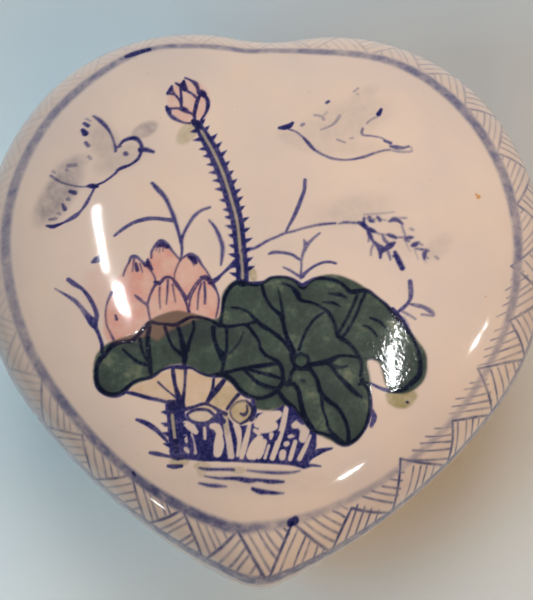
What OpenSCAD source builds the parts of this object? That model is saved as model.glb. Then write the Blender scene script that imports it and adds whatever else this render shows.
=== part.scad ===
// Heart-shaped porcelain trinket box: a dished base with a locating gallery,
// and a domed lid that drops over the gallery and lifts straight off.
// Millimetres, +Z up. The origin is on the table, under the middle of the plan,
// with the heart's point toward -Y.

/* [Rim outline] */
// Width of the box across its lobes
box_w = 100; // [97:0.5:103]
// Radius of each lobe's side, out to the widest point
rim_side_r = 46; // [44:0.5:48]
// Radius of each lobe's rounder top
rim_top_r = 34; // [31:0.5:37]
// Direction in which the side's arc gives way to the top's, in degrees above level
rim_top_turn = 36; // [30:1:42]
// Distance from the widest line down to the centre of the point's radius
rim_tip_drop = 50; // [49:0.1:52]
// Radius of the point
rim_tip_r = 8.3; // [7:0.1:10]
// Radius of the long flanks that run to the point
rim_flank_r = 101; // [90:1:120]
// Radius of the hollow between the lobes
rim_cleft_r = 28; // [18:1:36]

/* [Shoulder outline] */
// How far the shoulder, where the crown meets the border, lies inside the widest points
shoulder_inset = 5.8; // [5.2:0.1:6.4]
// Radius of the shoulder's lobes
shoulder_lobe_r = 34.2; // [33:0.1:35.5]
// How far the centres of those lobes lie above the rim's widest line
shoulder_rise = 1.5; // [0.8:0.1:1.8]
// Distance from those centres down to the centre of the shoulder's point
shoulder_tip_drop = 33; // [32:0.1:35]
// Radius of the shoulder's point
shoulder_tip_r = 18; // [16:0.1:19]
// Radius of the shoulder's flanks
shoulder_flank_r = 56; // [53:0.5:62]
// Radius of the hollow between the shoulder's lobes
shoulder_cleft_r = 34; // [26:1:42]

/* [Foot outline] */
// How far the foot ring lies inside the rim
foot_inset = 8.5; // [7.5:0.1:9.5]
// Distance from the widest line down to the centre of the foot's point
foot_tip_drop = 37; // [36:0.1:38]
// Radius of the foot's point
foot_tip_r = 10; // [8:0.1:11]
// Radius of the foot's flanks
foot_flank_r = 80; // [74:1:90]

/* [Lid] */
// Height of the plain upright edge under the border
lid_edge_h = 2.4; // [1.5:0.1:4]
// Rise from that edge to the middle of the crown
lid_dome_h = 14; // [11:0.5:17]
// Thickness of the wall at its seat
lid_wall = 2.6; // [2.3:0.1:2.9]
// Thickness of the crown
lid_crown_t = 3; // [2.5:0.1:3.5]

/* [Base] */
// Height of the ledge that the lid sits on
base_h = 24; // [20:0.5:30]
// Thickness of the floor over the recess under it
floor_t = 3; // [2.5:0.1:4]
// Height of the upright gallery over the ledge
gallery_h = 4; // [3:0.1:5]
// Thickness of the gallery
gallery_t = 1.9; // [1.6:0.1:2.2]
// Gap all round between the gallery and the lid's wall
gallery_gap = 0.55; // [0.4:0.05:0.7]
// Height of the foot ring
foot_h = 2.6; // [2:0.1:3.5]
// Width of the foot ring's flat face
foot_w = 2.6; // [2:0.1:3.2]

/* [Hidden] */
porcelain = "#ecd9cd";

// Points round each ring. The gathering crowds them at the tightly curved point.
ring_n = 96;
gathering = 24;
edge_r = 0.7;          // rounding of every glazed edge
corner_steps = 3;      // steps in a quarter turn of that rounding
dome_steps = 16;       // rings from the lid's edge to near the middle of its crown
dome_inner_steps = 12; // the same on its underside

// Section of the lid: flat over the crown and upright at the edge
dome_power = 3;
dome_root = 0.314;
// Share of the way out at which the lid's plan is exactly the shoulder outline,
// and how quickly the plan turns into the rim outline past it
shoulder_share = 0.87;
plan_power = 6;

// Belly of the base, from the ledge down to a waist over the foot
belly_steps = 9;
belly_end = 78;        // degrees of the quarter turn that the belly uses
belly_top_drop = 2.2;  // upright height under the ledge
belly_waist = 0.9;     // how far the foot stands in from the belly's end
recess_h = 1.6;        // depth of the recess under the floor
recess_slope = 1.2;    // how far the recess's wall leans in
foot_grind = 0.4;      // depth ground off under the foot, which leaves it flat

// Rounding inside the base, between its upright wall and its floor
hollow_r = 7;
hollow_rise = 9;
hollow_steps = 5;

// A heart is a list of arcs in order from its point round to its cleft. Each is
// [centre, radius, bearing from the origin at which it ends], and meets the next
// at a tangent.
function bearing(p) = atan2(p.y, p.x);
function on_line(from, to, r) = from + (to - from) * r / norm(to - from);
function flank_centre(side, side_r, tip, tip_r, flank_r) =
    let (span = norm(tip - side), along = (tip - side) / span,
         to_side = flank_r - side_r, to_tip = flank_r - tip_r,
         reach = (to_side * to_side - to_tip * to_tip + span * span) / (2 * span))
    side + along * reach + [along.y, -along.x] * sqrt(to_side * to_side - reach * reach);
function heart(side, side_r, top_r, top_turn, tip_drop, tip_r, flank_r, cleft_r) =
    let (turn = [cos(top_turn), sin(top_turn)],
         top = side + turn * (side_r - top_r),
         tip = [0, side.y - tip_drop],
         flank = flank_centre(side, side_r, tip, tip_r, flank_r),
         cleft = [0, top.y + sqrt(pow(cleft_r + top_r, 2) - top.x * top.x)])
    [[tip, tip_r, bearing(on_line(flank, tip, flank_r))],
     [flank, flank_r, bearing(on_line(flank, side, flank_r))],
     [side, side_r, bearing(side + turn * side_r)],
     [top, top_r, bearing(on_line(cleft, top, cleft_r))],
     [cleft, cleft_r, 90]];

// Distance from the origin, along bearing a, to a circle: its far side, or its near side
function to_circle(a, c, r, side) =
    c.x * cos(a) + c.y * sin(a) + side * sqrt(r * r - pow(c.x * sin(a) - c.y * cos(a), 2));
// Distance from the origin to a heart's outline, along a bearing from -90 to 270
function heart_r(h, a) =
    let (right = a > 90 ? 180 - a : a,
         k = [for (i = [0 : 4]) if (right <= h[i][2]) i][0])
    to_circle(right, h[k][0], h[k][1], k == 4 ? -1 : 1);

// The widest line lies where the rim's point and its lobes' tops are equally far out
top_bulge = (rim_side_r - rim_top_r) * sin(rim_top_turn) + rim_top_r;
side = [box_w / 2 - rim_side_r, (rim_tip_drop + rim_tip_r - top_bulge) / 2];
rim = heart(side, rim_side_r, rim_top_r, rim_top_turn,
    rim_tip_drop, rim_tip_r, rim_flank_r, rim_cleft_r);
shoulder_side = [box_w / 2 - shoulder_inset - shoulder_lobe_r, side.y + shoulder_rise];
shoulder = heart(shoulder_side, shoulder_lobe_r, shoulder_lobe_r, rim_top_turn,
    shoulder_tip_drop, shoulder_tip_r, shoulder_flank_r, shoulder_cleft_r);
foot = heart(side, rim_side_r - foot_inset, rim_top_r - foot_inset, rim_top_turn,
    foot_tip_drop, foot_tip_r, foot_flank_r, rim_cleft_r + foot_inset);

bearings = [for (i = [0 : ring_n - 1])
    let (turn = 360 * i / ring_n) turn - gathering * sin(turn) - 90];
rim_rs = [for (a = bearings) heart_r(rim, a)];
shoulder_rs = [for (a = bearings) heart_r(shoulder, a)];
foot_rs = [for (a = bearings) heart_r(foot, a)];

// A ring of a surface is [share of the rim outline, share of the shoulder outline,
// share of the foot outline, height]. inset() is the rim drawn in by so many millimetres.
function inset(mm, z) = [1 - mm / foot_inset, 0, mm / foot_inset, z];
function dome_z(share, h) = base_h + lid_edge_h + h * pow(1 - pow(share, dome_power), dome_root);
function dome_ring(share, wall, h) =
    let (g = pow(share, plan_power), g0 = pow(shoulder_share, plan_power),
         outer = share * (g - (1 - g) * g0 / (1 - g0)),
         edge = inset(wall, dome_z(share, h)))
    [outer * edge[0], share * (1 - g) / (shoulder_share * (1 - g0)), outer * edge[2], edge[3]];
// Rings of a rounded edge about [mm, z], where 0 degrees faces out and 90 faces up
function rounded(mm, z, from, to) =
    [for (i = [0 : corner_steps])
        let (a = from + (to - from) * i / corner_steps)
        inset(mm - edge_r * cos(a), z + edge_r * sin(a))];
function ring_points(ring) = [for (i = [0 : ring_n - 1])
    let (r = ring[0] * rim_rs[i] + ring[1] * shoulder_rs[i] + ring[2] * foot_rs[i])
    [r * cos(bearings[i]), r * sin(bearings[i]), ring[3]]];

// A closed solid through a list of rings, from the middle of its underside
// outwards, up and back in to the middle of its top
module shell(bottom_z, rings, top_z) {
    last = 1 + (len(rings) - 1) * ring_n;
    points = [[0, 0, bottom_z], for (ring = rings) each ring_points(ring), [0, 0, top_z]];
    faces = [
        for (i = [0 : ring_n - 1])
            let (j = (i + 1) % ring_n)
            each [[0, 1 + i, 1 + j], [last + i, last + ring_n, last + j]],
        for (low = [1 : ring_n : last - ring_n], i = [0 : ring_n - 1])
            let (j = (i + 1) % ring_n, high = low + ring_n)
            each [[low + i, high + i, high + j], [low + i, high + j, low + j]]
    ];
    polyhedron(points, faces, convexity = 4);
}

// Everything under the table's plane, which grinds the foot flat
module under_table() {
    translate([-box_w, -box_w, -box_w]) cube([2 * box_w, 2 * box_w, box_w]);
}

// Dished base: recess, foot ring, bellied wall, ledge, gallery and rounded hollow
gallery_out = lid_wall + gallery_gap;
gallery_in = gallery_out + gallery_t;
gallery_edge_z = base_h + gallery_h - edge_r;
floor_z = recess_h + floor_t;
module base() {
    belly_inset = foot_inset - belly_waist;
    belly_z = base_h - belly_top_drop;
    color(porcelain) difference() {
        shell(
            recess_h,
            [
                inset(foot_inset + foot_w + recess_slope, recess_h),
                inset(foot_inset + foot_w, 0),
                inset(foot_inset + foot_w, -foot_grind),
                inset(foot_inset, -foot_grind),
                inset(foot_inset, 0),
                inset(foot_inset - belly_waist / 2, foot_h / 2),
                for (i = [0 : belly_steps])
                    let (a = belly_end * (1 - i / belly_steps))
                    inset(belly_inset * (1 - cos(a)) / (1 - cos(belly_end)),
                        belly_z - (belly_z - foot_h) * sin(a) / sin(belly_end)),
                each rounded(edge_r, base_h - edge_r, 0, 90),
                inset(gallery_out, base_h),
                each rounded(gallery_out + edge_r, gallery_edge_z, 0, 90),
                each rounded(gallery_in - edge_r, gallery_edge_z, 90, 180),
                for (i = [0 : hollow_steps])
                    let (a = 90 * i / hollow_steps)
                    inset(gallery_in + hollow_r * (1 - cos(a)), floor_z + hollow_rise * (1 - sin(a)))
            ],
            floor_z
        );
        under_table();
    }
}

// Domed lid: underside, wall, seat, upright edge, border and crown
module lid() {
    inner_h = lid_dome_h - lid_crown_t;
    color(porcelain) shell(
        dome_z(0, inner_h),
        [
            for (i = [1 : dome_inner_steps])
                dome_ring(sin(90 * i / dome_inner_steps), lid_wall, inner_h),
            inset(lid_wall, base_h + edge_r),
            inset(lid_wall - edge_r / 2, base_h),
            each rounded(edge_r, base_h + edge_r, -90, 0),
            for (i = [dome_steps : -1 : 1])
                dome_ring(sin(90 * i / dome_steps), 0, lid_dome_h)
        ],
        dome_z(0, lid_dome_h)
    );
}

base();
lid();
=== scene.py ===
"""Porcelain trinket box: a heart-shaped, glazed box with a hand-painted lift-off lid.

The shapes repeat the CAD model's outlines at a finer pitch, and the painting is laid on them
stroke by stroke, in millimetres of the lid's plan, as densities that the glaze material reads.
"""
import math

import bpy
import numpy as np
from mathutils import Matrix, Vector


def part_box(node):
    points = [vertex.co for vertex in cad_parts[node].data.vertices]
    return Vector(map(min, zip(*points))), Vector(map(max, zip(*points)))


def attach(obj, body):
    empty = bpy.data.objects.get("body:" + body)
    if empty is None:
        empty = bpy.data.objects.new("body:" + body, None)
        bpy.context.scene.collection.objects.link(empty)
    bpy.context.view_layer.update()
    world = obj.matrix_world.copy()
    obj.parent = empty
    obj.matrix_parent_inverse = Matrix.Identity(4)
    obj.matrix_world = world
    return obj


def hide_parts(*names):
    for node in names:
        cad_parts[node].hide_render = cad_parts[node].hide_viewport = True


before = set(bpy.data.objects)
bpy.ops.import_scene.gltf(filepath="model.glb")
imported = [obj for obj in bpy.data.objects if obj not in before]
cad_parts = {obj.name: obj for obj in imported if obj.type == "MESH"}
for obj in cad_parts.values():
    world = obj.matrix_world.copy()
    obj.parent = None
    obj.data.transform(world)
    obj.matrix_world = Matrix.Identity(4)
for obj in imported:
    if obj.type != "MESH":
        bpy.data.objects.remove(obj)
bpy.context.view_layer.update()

MM = 0.001
LID_LOW, LID_HIGH = (np.array(corner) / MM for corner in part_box("lid"))
BASE_HIGH = np.array(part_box("base")[1]) / MM

# ---------------------------------------------------------------- outlines, in millimetres

HALF_W = LID_HIGH[0]
LEDGE_Z = LID_LOW[2]
CROWN_Z = LID_HIGH[2]
GALLERY_TOP_Z = BASE_HIGH[2]

RIM_SIDE_R, RIM_TOP_R, LOBE_TURN = 46, 34, 36
RIM_TIP_DROP, RIM_TIP_R, RIM_FLANK_R, RIM_CLEFT_R = 50, 8.3, 101, 28
SHOULDER_INSET, SHOULDER_R, SHOULDER_RISE = 5.8, 34.2, 1.5
SHOULDER_TIP_DROP, SHOULDER_TIP_R, SHOULDER_FLANK_R, SHOULDER_CLEFT_R = 33, 18, 56, 34
FOOT_INSET, FOOT_TIP_DROP, FOOT_TIP_R, FOOT_FLANK_R = 8.5, 37, 10, 80

LID_EDGE_H = 2.4
LID_WALL = 2.6
LID_CROWN_T = 3
DOME_H = CROWN_Z - LEDGE_Z - LID_EDGE_H
DOME_POWER, DOME_ROOT = 3, 0.314
SHOULDER_SHARE, PLAN_POWER = 0.87, 6
CROWN_SHARE = 0.91          # the lid's crown piece ends here and its border piece begins
EDGE_R = 0.7
GALLERY_OUT = 3.15
GALLERY_IN = 5.05
FOOT_H, FOOT_W, RECESS_H, FLOOR_Z = 2.6, 2.6, 1.6, 4.6
BELLY_WAIST, BELLY_TOP_DROP, BELLY_END = 0.9, 2.2, 78
HOLLOW_R, HOLLOW_RISE = 7, 9
FINE_STEPS, SHARE_STEPS = 20000, 4000      # steps in which outlines and the dome are measured
CLEFT = 4                   # the one arc of a heart that bends inwards


def direction(degrees):
    return np.array([math.cos(math.radians(degrees)), math.sin(math.radians(degrees))])


def bearing(point):
    return math.atan2(point[1], point[0])


def beyond(start, towards, distance):
    return start + (towards - start) * distance / np.linalg.norm(towards - start)


def heart(side, side_r, top_r, tip_drop, tip_r, flank_r, cleft_r):
    """A heart's arcs from its point round to its cleft: (centre, radius, last bearing)."""
    top = side + direction(LOBE_TURN) * (side_r - top_r)
    tip = np.array([0, side[1] - tip_drop])
    span = np.linalg.norm(tip - side)
    along = (tip - side) / span
    to_side, to_tip = flank_r - side_r, flank_r - tip_r
    reach = (to_side ** 2 - to_tip ** 2 + span ** 2) / (2 * span)
    across = np.array([along[1], -along[0]]) * math.sqrt(to_side ** 2 - reach ** 2)
    flank = side + along * reach + across
    cleft = np.array([0, top[1] + math.sqrt((cleft_r + top_r) ** 2 - top[0] ** 2)])
    return [
        (tip, tip_r, bearing(beyond(flank, tip, flank_r))),
        (flank, flank_r, bearing(beyond(flank, side, flank_r))),
        (side, side_r, bearing(side + direction(LOBE_TURN) * side_r)),
        (top, top_r, bearing(beyond(cleft, top, cleft_r))),
        (cleft, cleft_r, math.pi),
    ]


def heart_radius(arcs, angles):
    """Distance from the middle to a heart's outline at each angle."""
    right = np.arctan2(np.sin(angles), np.abs(np.cos(angles)))
    radius = np.zeros_like(right)
    previous = -math.pi
    for index, (centre, arc_r, last) in enumerate(arcs):
        here = (right > previous) & (right <= last)
        along = centre[0] * np.cos(right) + centre[1] * np.sin(right)
        across = centre[0] * np.sin(right) - centre[1] * np.cos(right)
        root = np.sqrt(np.maximum(arc_r ** 2 - across ** 2, 0))
        radius[here] = (along - root if index == CLEFT else along + root)[here]
        previous = last
    return radius


LOBE_TOP = (RIM_SIDE_R - RIM_TOP_R) * direction(LOBE_TURN)[1] + RIM_TOP_R
SIDE = np.array([HALF_W - RIM_SIDE_R, (RIM_TIP_DROP + RIM_TIP_R - LOBE_TOP) / 2])
SHOULDER_SIDE = np.array([HALF_W - SHOULDER_INSET - SHOULDER_R, SIDE[1] + SHOULDER_RISE])
RIM = heart(SIDE, RIM_SIDE_R, RIM_TOP_R, RIM_TIP_DROP, RIM_TIP_R, RIM_FLANK_R, RIM_CLEFT_R)
SHOULDER = heart(SHOULDER_SIDE, SHOULDER_R, SHOULDER_R, SHOULDER_TIP_DROP, SHOULDER_TIP_R,
                 SHOULDER_FLANK_R, SHOULDER_CLEFT_R)
FOOT = heart(SIDE, RIM_SIDE_R - FOOT_INSET, RIM_TOP_R - FOOT_INSET, FOOT_TIP_DROP, FOOT_TIP_R,
             FOOT_FLANK_R, RIM_CLEFT_R + FOOT_INSET)


def inset_radius(angles, inset):
    """The rim's outline, drawn in by so many millimetres."""
    drawn = inset / FOOT_INSET
    return (1 - drawn) * heart_radius(RIM, angles) + drawn * heart_radius(FOOT, angles)


def dome_height(share, rise):
    return LEDGE_Z + LID_EDGE_H + rise * (1 - np.minimum(share, 1) ** DOME_POWER) ** DOME_ROOT


def dome_radius(share, angles, inset=0):
    """The lid's plan at a share of the way out: the shoulder heart, turning into the rim."""
    bend = share ** PLAN_POWER
    at_shoulder = SHOULDER_SHARE ** PLAN_POWER
    outer = share * (bend - (1 - bend) * at_shoulder / (1 - at_shoulder))
    inner = share * (1 - bend) / (SHOULDER_SHARE * (1 - at_shoulder))
    return outer * inset_radius(angles, inset) + inner * heart_radius(SHOULDER, angles)


def run_of(x, y):
    """Distances along a line of points, from its start to each of them."""
    return np.concatenate([[0], np.cumsum(np.hypot(np.diff(x), np.diff(y)))])


def walk_round(arcs):
    """Fine bearings from an outline's point round to it again, and the distance to each."""
    fine = np.linspace(-math.pi / 2, 1.5 * math.pi, FINE_STEPS + 1)
    radius = heart_radius(arcs, fine)
    return fine, run_of(radius * np.cos(fine), radius * np.sin(fine))


def even_bearings(count):
    """Bearings at equal steps round the rim, from its point."""
    fine, length = walk_round(RIM)
    return np.interp(np.arange(count) / count * length[-1], length, fine)


def outline_length(arcs, angles):
    """Millimetres along an outline from its point to each angle, and all the way round."""
    fine, length = walk_round(arcs)
    turned = (angles + math.pi / 2) % (2 * math.pi) - math.pi / 2
    return np.interp(turned, fine, length), length[-1]


def arc_of_shares():
    """Shares of the way out, and the millimetres down the lid's section from its shoulder."""
    share = np.sin(np.linspace(0, math.pi / 2, SHARE_STEPS + 1))
    length = run_of(share * HALF_W, dome_height(share, DOME_H))
    return share, length - np.interp(SHOULDER_SHARE, share, length)


SHARES, SHARE_ARCS = arc_of_shares()
SHOULDER_LENGTH = outline_length(SHOULDER, np.zeros(1))[1]
RIM_LENGTH = outline_length(RIM, np.zeros(1))[1]

# ---------------------------------------------------------------- the painting
#
# Every motif is a list of brush strokes on the lid's plan, in millimetres. A row holds the
# stroke's ink, from 0 to 1, and then its points: x, y and the width of the brush mark there.
# A row with no ink goes on with the stroke above it.

LEFT_BIRD = """
.90: -25.3 24.0 .3, -24.6 24.9 .5, -23.4 25.4 .7, -22.4 25.3 .8, -21.7 24.6 .6, -21.3 23.6 .6
.95: -21.6 23.2 .9, -20.5 23.2 .8, -19.3 22.8 .5
.85: -21.3 23.4 .6, -21.6 22.2 .5, -22.1 21.3 .5, -23.2 20.4 .4, -24.4 19.9 .6, -25.2 19.5 .5
     -25.8 18.7 .4, -27.5 17.3 .35, -29 16.6 .4
.95: -30.4 16.5 .4, -29.6 16.5 .9, -28.7 16.4 .5
.60: -29.6 16.5 .3, -31.5 16.4 .3, -33.5 16.8 .3, -35.3 17.5 .35, -37.0 18.7 .4
.75: -29.2 16.1 .4, -29.7 14.9 .4, -30.4 13.4 .6, -31.2 12.1 .4, -32.2 11.1 .8, -33.3 10.4 .6
     -34.2 9.9 .3
.85: -37.1 9.5 .3, -36 9.3 .7, -35 9.6 .5, -34 10 .3
.80: -33.4 15.6 .6, -32.5 15.3 .8
.50: -33.7 14.2 .6, -33.4 14.1 .5
.80: -34.5 13.3 .4, -34.1 12.4 .8
.45: -36.6 10.6 .5, -35.5 10.7 .5
.35: -35.2 11.7 .5, -34.8 11.5 .4
.80: -30.2 29.9 .3, -29.1 29.1 .7, -28.2 28.2 .7, -27.4 27.2 .5, -26.7 25.9 .3, -26.2 24.5 .3
     -25.9 23.6 .6, -25.9 22.9 .4
.75: -25.9 23.6 .5, -25.1 23.9 .4
.40: -31.4 29.4 .4, -30.6 28.9 .3
.85: -31.7 28.5 .6, -31.0 28.0 .7
.95: -31.9 27.2 .7, -31.4 26.5 1.1
.70: -31.2 24.7 .6, -30.7 24.1 .7
.40: -30.5 22.0 .6, -30.1 21.6 .5
.70: -24.1 22.5 .9, -24.0 22.4 .8
.35: -34.0 20.4 .8, -32.7 20.5 .7
.35: -34.3 19.7 .5, -34.1 19.5 .4
.40: -36.7 19.5 .4, -36.3 19.2 .4
"""

RIGHT_BIRD = """
.97: 2.3 27.7 .5, 3.2 27.8 .9, 4.0 28.1 .9, 4.6 28.7 .5
.60: 3.9 27.5 .3, 5.2 27.0 .3, 6.3 26.1 .4
.85: 6.5 25.9 .4, 7.1 25.2 .6, 7.9 24.2 .6, 8.5 23.6 .4
.60: 8.3 23.7 .5, 10 22.7 .45, 11.6 22.1 .45, 13.5 21.9 .35, 15.3 22.1 .35
.70: 15.2 22.1 .35, 17 22.6 .5, 18.6 23.3 .4
.55: 18.4 23.2 .4, 20.3 23.9 .35, 21.5 24.1 .4
.70: 20.6 25.8 .5, 21.6 25.4 .6
.65: 21.6 24.8 .5, 22.8 24.6 .8, 23.9 24.6 .5, 24.8 24.9 .4
.35: 22 24 .5, 23.5 23.8 .5, 25.2 24 .4, 25.2 24.8 .3
.55: 16.8 28 .4, 16.6 27.2 .5, 17 26.7 .4, 18.5 26.6 .3, 20 26.3 .3, 20.8 25.8 .4
.90: 20.1 31.9 .5, 19.6 30.9 .8
.35: 19.4 30.4 .3, 18.3 29.8 .3, 17.5 29.0 .3
.75: 10.5 32.8 .5, 10.9 33.1 .5
.35: 15.3 35.2 .3, 16.1 36 .35
.30: 15.9 34.8 .4, 16.1 34.7 .3
.35: 8.4 30.3 .4, 9.6 30.1 .4, 10 29.5 .5
.35: 9.5 27.5 .3, 11 28.2 .4, 12 29 .5, 12.8 30.3 .6
.40: 12.3 25.7 .3, 13.7 25.2 .3
.35: 15.1 26.1 .3, 14.6 26.0 .3
.50: 6.2 28.3 .6, 6.5 28.5 .6
.25: 10.6 31 .3, 9.9 30.2 .3
"""

BUD = """
.97: -17.3 34.2 .6, -16.9 34.8 .8, -16.7 35.7 .3
.90: -17.2 34.1 .4, -16.2 34.0 .4, -15.3 33.0 .35, -14.9 32.0 .4
.85: -16.6 35.7 .3, -16.5 34.7 .4, -16.1 34.1 .3
.95: -16.0 36.3 .3, -15.1 35.8 .6, -14.6 36.6 .5
.97: -15.0 36.1 .5, -14.8 35.4 .8, -14.3 34.8 .5
.90: -15.1 35.4 .5, -15.0 34.3 .4, -14.9 33 .5, -14.8 31.7 .4
.90: -14.4 37.4 .3, -13.4 36.9 .4, -12.5 36.2 .8, -12.1 35.3 .6, -11.9 34.3 .7
.90: -14.6 36.8 .4, -14.3 35.6 .6, -13.9 34.7 .45, -13.0 34.1 .4, -12.3 33.4 .5
.97: -12 34.8 .6, -11.2 34.2 1.2, -10.8 33.6 .7
.95: -10.8 33.8 .6, -10.3 32.8 .7, -10.2 31.8 .7, -10.4 30.7 .5, -10.8 29.8 .4, -11.3 28.9 .4
.95: -11.6 34 .5, -12.1 32.6 .7, -12.3 31.4 .7, -12.5 30.2 .6, -12.4 29 .5
.97: -17.4 31.5 .5, -17.0 30.7 .9, -16.7 30.2 .4
.85: -17 31.1 .5, -15.4 31.2 .4, -14.3 30.7 .6, -13.2 30.3 .45, -12.6 29.9 .4
.90: -17 30.2 .5, -16.2 29.4 .7, -15.2 28.8 .5, -14.2 28.4 .3, -13.1 28.3 .3
.90: -14.9 31.5 .4, -14.2 31.0 .8, -13.6 30.4 .5
.95: -12.8 28.8 .5, -12.2 28.2 1.2, -11.7 27.9 .8
"""

GRASS = """
.80: -19.3 17.0 .5, -18.2 15.8 .8, -17.0 14.4 .7, -16.2 12.8 .6, -15.5 11.2 .7, -15.0 9.8 .6
     -14.5 8.2 .5, -14.0 6.6 .6, -13.8 5.0 .4, -13.9 3.6 .4
.75: -25.3 7.5 .4, -24.0 8.6 .6, -22.2 9.8 .6, -20.0 10.5 .75, -18.2 10.6 .65, -16.6 10.4 .7
     -15.4 10.3 .8
.75: -9.3 12.7 .4, -10.8 12.1 .5, -12.0 11.0 .6, -13.0 9.3 .5, -13.7 7.7 .5, -14.0 6.5 .7
.70: -9.4 10.4 .3, -8.4 9.2 .5, -7.6 7.6 .65, -7.0 5.8 .7, -7.0 4.3 .6, -7.2 2.5 .3
.90: -28.8 2.9 .5, -28.1 3.3 1.1, -27.7 3.5 .9, -27.5 4.6 .3
.75: -32.8 -.1 .7, -31.7 -.9 .8, -30.2 -1.9 .55, -29.0 -3.4 .7, -28.2 -4.8 .7, -27.7 -6.2 .8
     -27.9 -7.6 .9
.65: -35.0 -1.6 .2, -33.3 -2.6 .4, -31.6 -3.7 .7, -30.4 -4.9 .7, -29.3 -6.3 1.0, -28.4 -7.3 1.3
.85: -29.2 -6.5 .8, -28.3 -7.5 1.4, -27.7 -8.5 .7, -27.1 -9.8 .55, -26.6 -11.2 .6, -26.5 -12.5 .7
.90: -4.2 4.2 .4, -4.8 2.9 1.1, -5.8 2.1 .6, -7.0 .9 .45, -8.0 -.1 .8, -8.9 -.5 .9
.70: 3.6 8.4 .4, 4.1 9.6 .45, 4.9 11.2 .6, 5.6 12.9 .7, 6.2 14.6 .65, 6.7 16.2 .6, 6.8 18 .6
.65: 6.2 .5 .5, 6.3 2.5 .3, 6.3 3.6 .4, 6.6 4.9 .5, 7.1 6.1 .7, 7.9 7.1 .5, 8.7 7.9 .4, 9.4 8.5 .3
.65: 6.7 7.2 .3, 7.0 6.4 .8, 6.9 5.4 .5
.65: .8 4.6 .3, 1.6 4.9 .6, 3.0 4.9 .5, 4.6 4.6 .5, 5.6 4.0 .5, 6.2 3.6 .4
.60: 3.3 2.3 .3, 4.4 1.8 .45, 5.3 1.2 .45, 6.0 .8 .6
.70: 6.4 .8 .8, 7.4 1.8 .5, 8.6 2.7 .45, 10 3.3 .45, 11.2 3.4 .45, 12.1 3.2 .4
.70: 24.6 .4 .8, 24.7 -.9 .85, 24.7 -2.0 .8, 24.4 -3.0 .55, 23.8 -3.8 .6, 23.0 -4.5 .6
     22.4 -5.0 .4
.60: 24.6 -3.5 .4, 25.8 -3.7 .7, 27.0 -4.0 .7, 28.2 -4.7 .8, 28.6 -5.2 .4
.45: 28.4 -5.3 .5, 26.5 -5.2 .4
.40: 23.2 -4.8 .5, 24.4 -5.4 .5, 25.4 -6.0 .4
.40: 23.4 -6.0 .7, 24.2 -7.2 .5
.95: 23.9 -19.9 .3, 24.1 -20.0 .3
"""

REED = """
.75: -3.4 5.1 1.1, -2.5 5.3 .5, -1.2 5.8 .45, .5 6.9 .4, 2.2 7.7 .35, 3.4 8.3 .4, 4.9 8.7 .3
     7.0 9.4 .35, 9.5 10 .4, 12 10.3 .35
.60: 12.6 10.2 .2, 13.8 10.5 .45, 16 10.4 .4
.90: 16.0 10.5 .5, 16.7 10.2 .9, 17.4 9.5 .7
.80: 16.9 11.4 .3, 16.8 10.4 .6
.80: 17.4 9.6 .6, 18.1 9.2 .8, 18.6 9.0 .6
.55: 18.5 9.0 .4, 19.8 8.5 .3, 21 8.5 .3, 22.3 8.1 .3, 23.6 8.1 .3
.75: 20.9 8.5 .5, 21.6 8.3 .7, 22.3 8.0 .5
.70: 24.0 8.0 .4, 24.6 8.1 .7, 25.2 8.2 .3
.80: 17.6 9.2 .7, 17.9 8.2 .8, 18.3 7.4 .5, 19.0 6.7 .7, 19.8 5.9 1.4
.60: 17.8 8.0 .5, 17.6 7.2 .25
.90: 19.3 6.3 .7, 19.6 5.4 .7, 19.6 4.4 .4
.55: 18.5 6.8 .4, 18.1 5.8 .3, 18.0 4.8 .25
.90: 19.8 5.8 1.2, 20.5 6.0 .9, 21.3 6.6 1.0, 22.0 7.1 .4
.70: 20.0 8.5 .4, 20.3 7.6 .6, 20.9 7.0 .6
.60: 20.8 5.8 .6, 21.1 4.9 .5, 21.3 4.1 .3
.95: 22.1 5.4 .6, 22.6 4.2 .9, 23.3 2.7 .9
.80: 22.2 5.3 .5, 21.9 4.7 .5
.60: 23.8 8.3 .4, 24.0 7.7 .7, 24.5 7.5 .4
.75: 25.0 6.7 .5, 25.5 6.9 .9, 26.2 7.3 .4
.50: 25.8 7.2 .3, 26.8 6.9 .3
.65: 25.6 6.2 .3, 26.6 6.1 .5, 27.8 5.9 .4
.80: 27.4 6.0 .5, 27.1 5.3 .8, 27.1 4.5 .5
.55: 27.2 4.9 .4, 27.7 4.6 .3
.35: 24.0 7.2 .25, 24.3 6.4 .2, 24.7 5.7 .15
.35: 25.4 6.2 .25, 25.7 5.3 .2, 26.0 4.4 .15
.30: 27.1 4.4 .25, 27.3 3.8 .2
.45: 29.0 4.9 .4, 29.4 4.6 .4
.70: 17.8 11.5 .6, 18.0 11.0 .8, 18.5 10.8 .5
.75: 19.2 11.6 .5, 19.6 11.1 .7
.40: 17.2 11.3 .4, 19.0 11.2 .35, 20.6 11.1 .3
.75: 21.2 10.9 .4, 22.1 11.3 .9, 22.9 11.0 .6, 23.4 10.5 .4
.50: 23.3 10.5 .35, 23.5 9.6 .3, 23.8 8.7 .3, 23.9 8.2 .3
.40: 22.4 11.5 .4, 24.1 11.6 .3
.25: 17.0 12.0 .4, 19.4 12.2 .4, 22.0 12.6 .3
.40: 24.8 9.7 .4, 25.2 9.5 .4
"""

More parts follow.
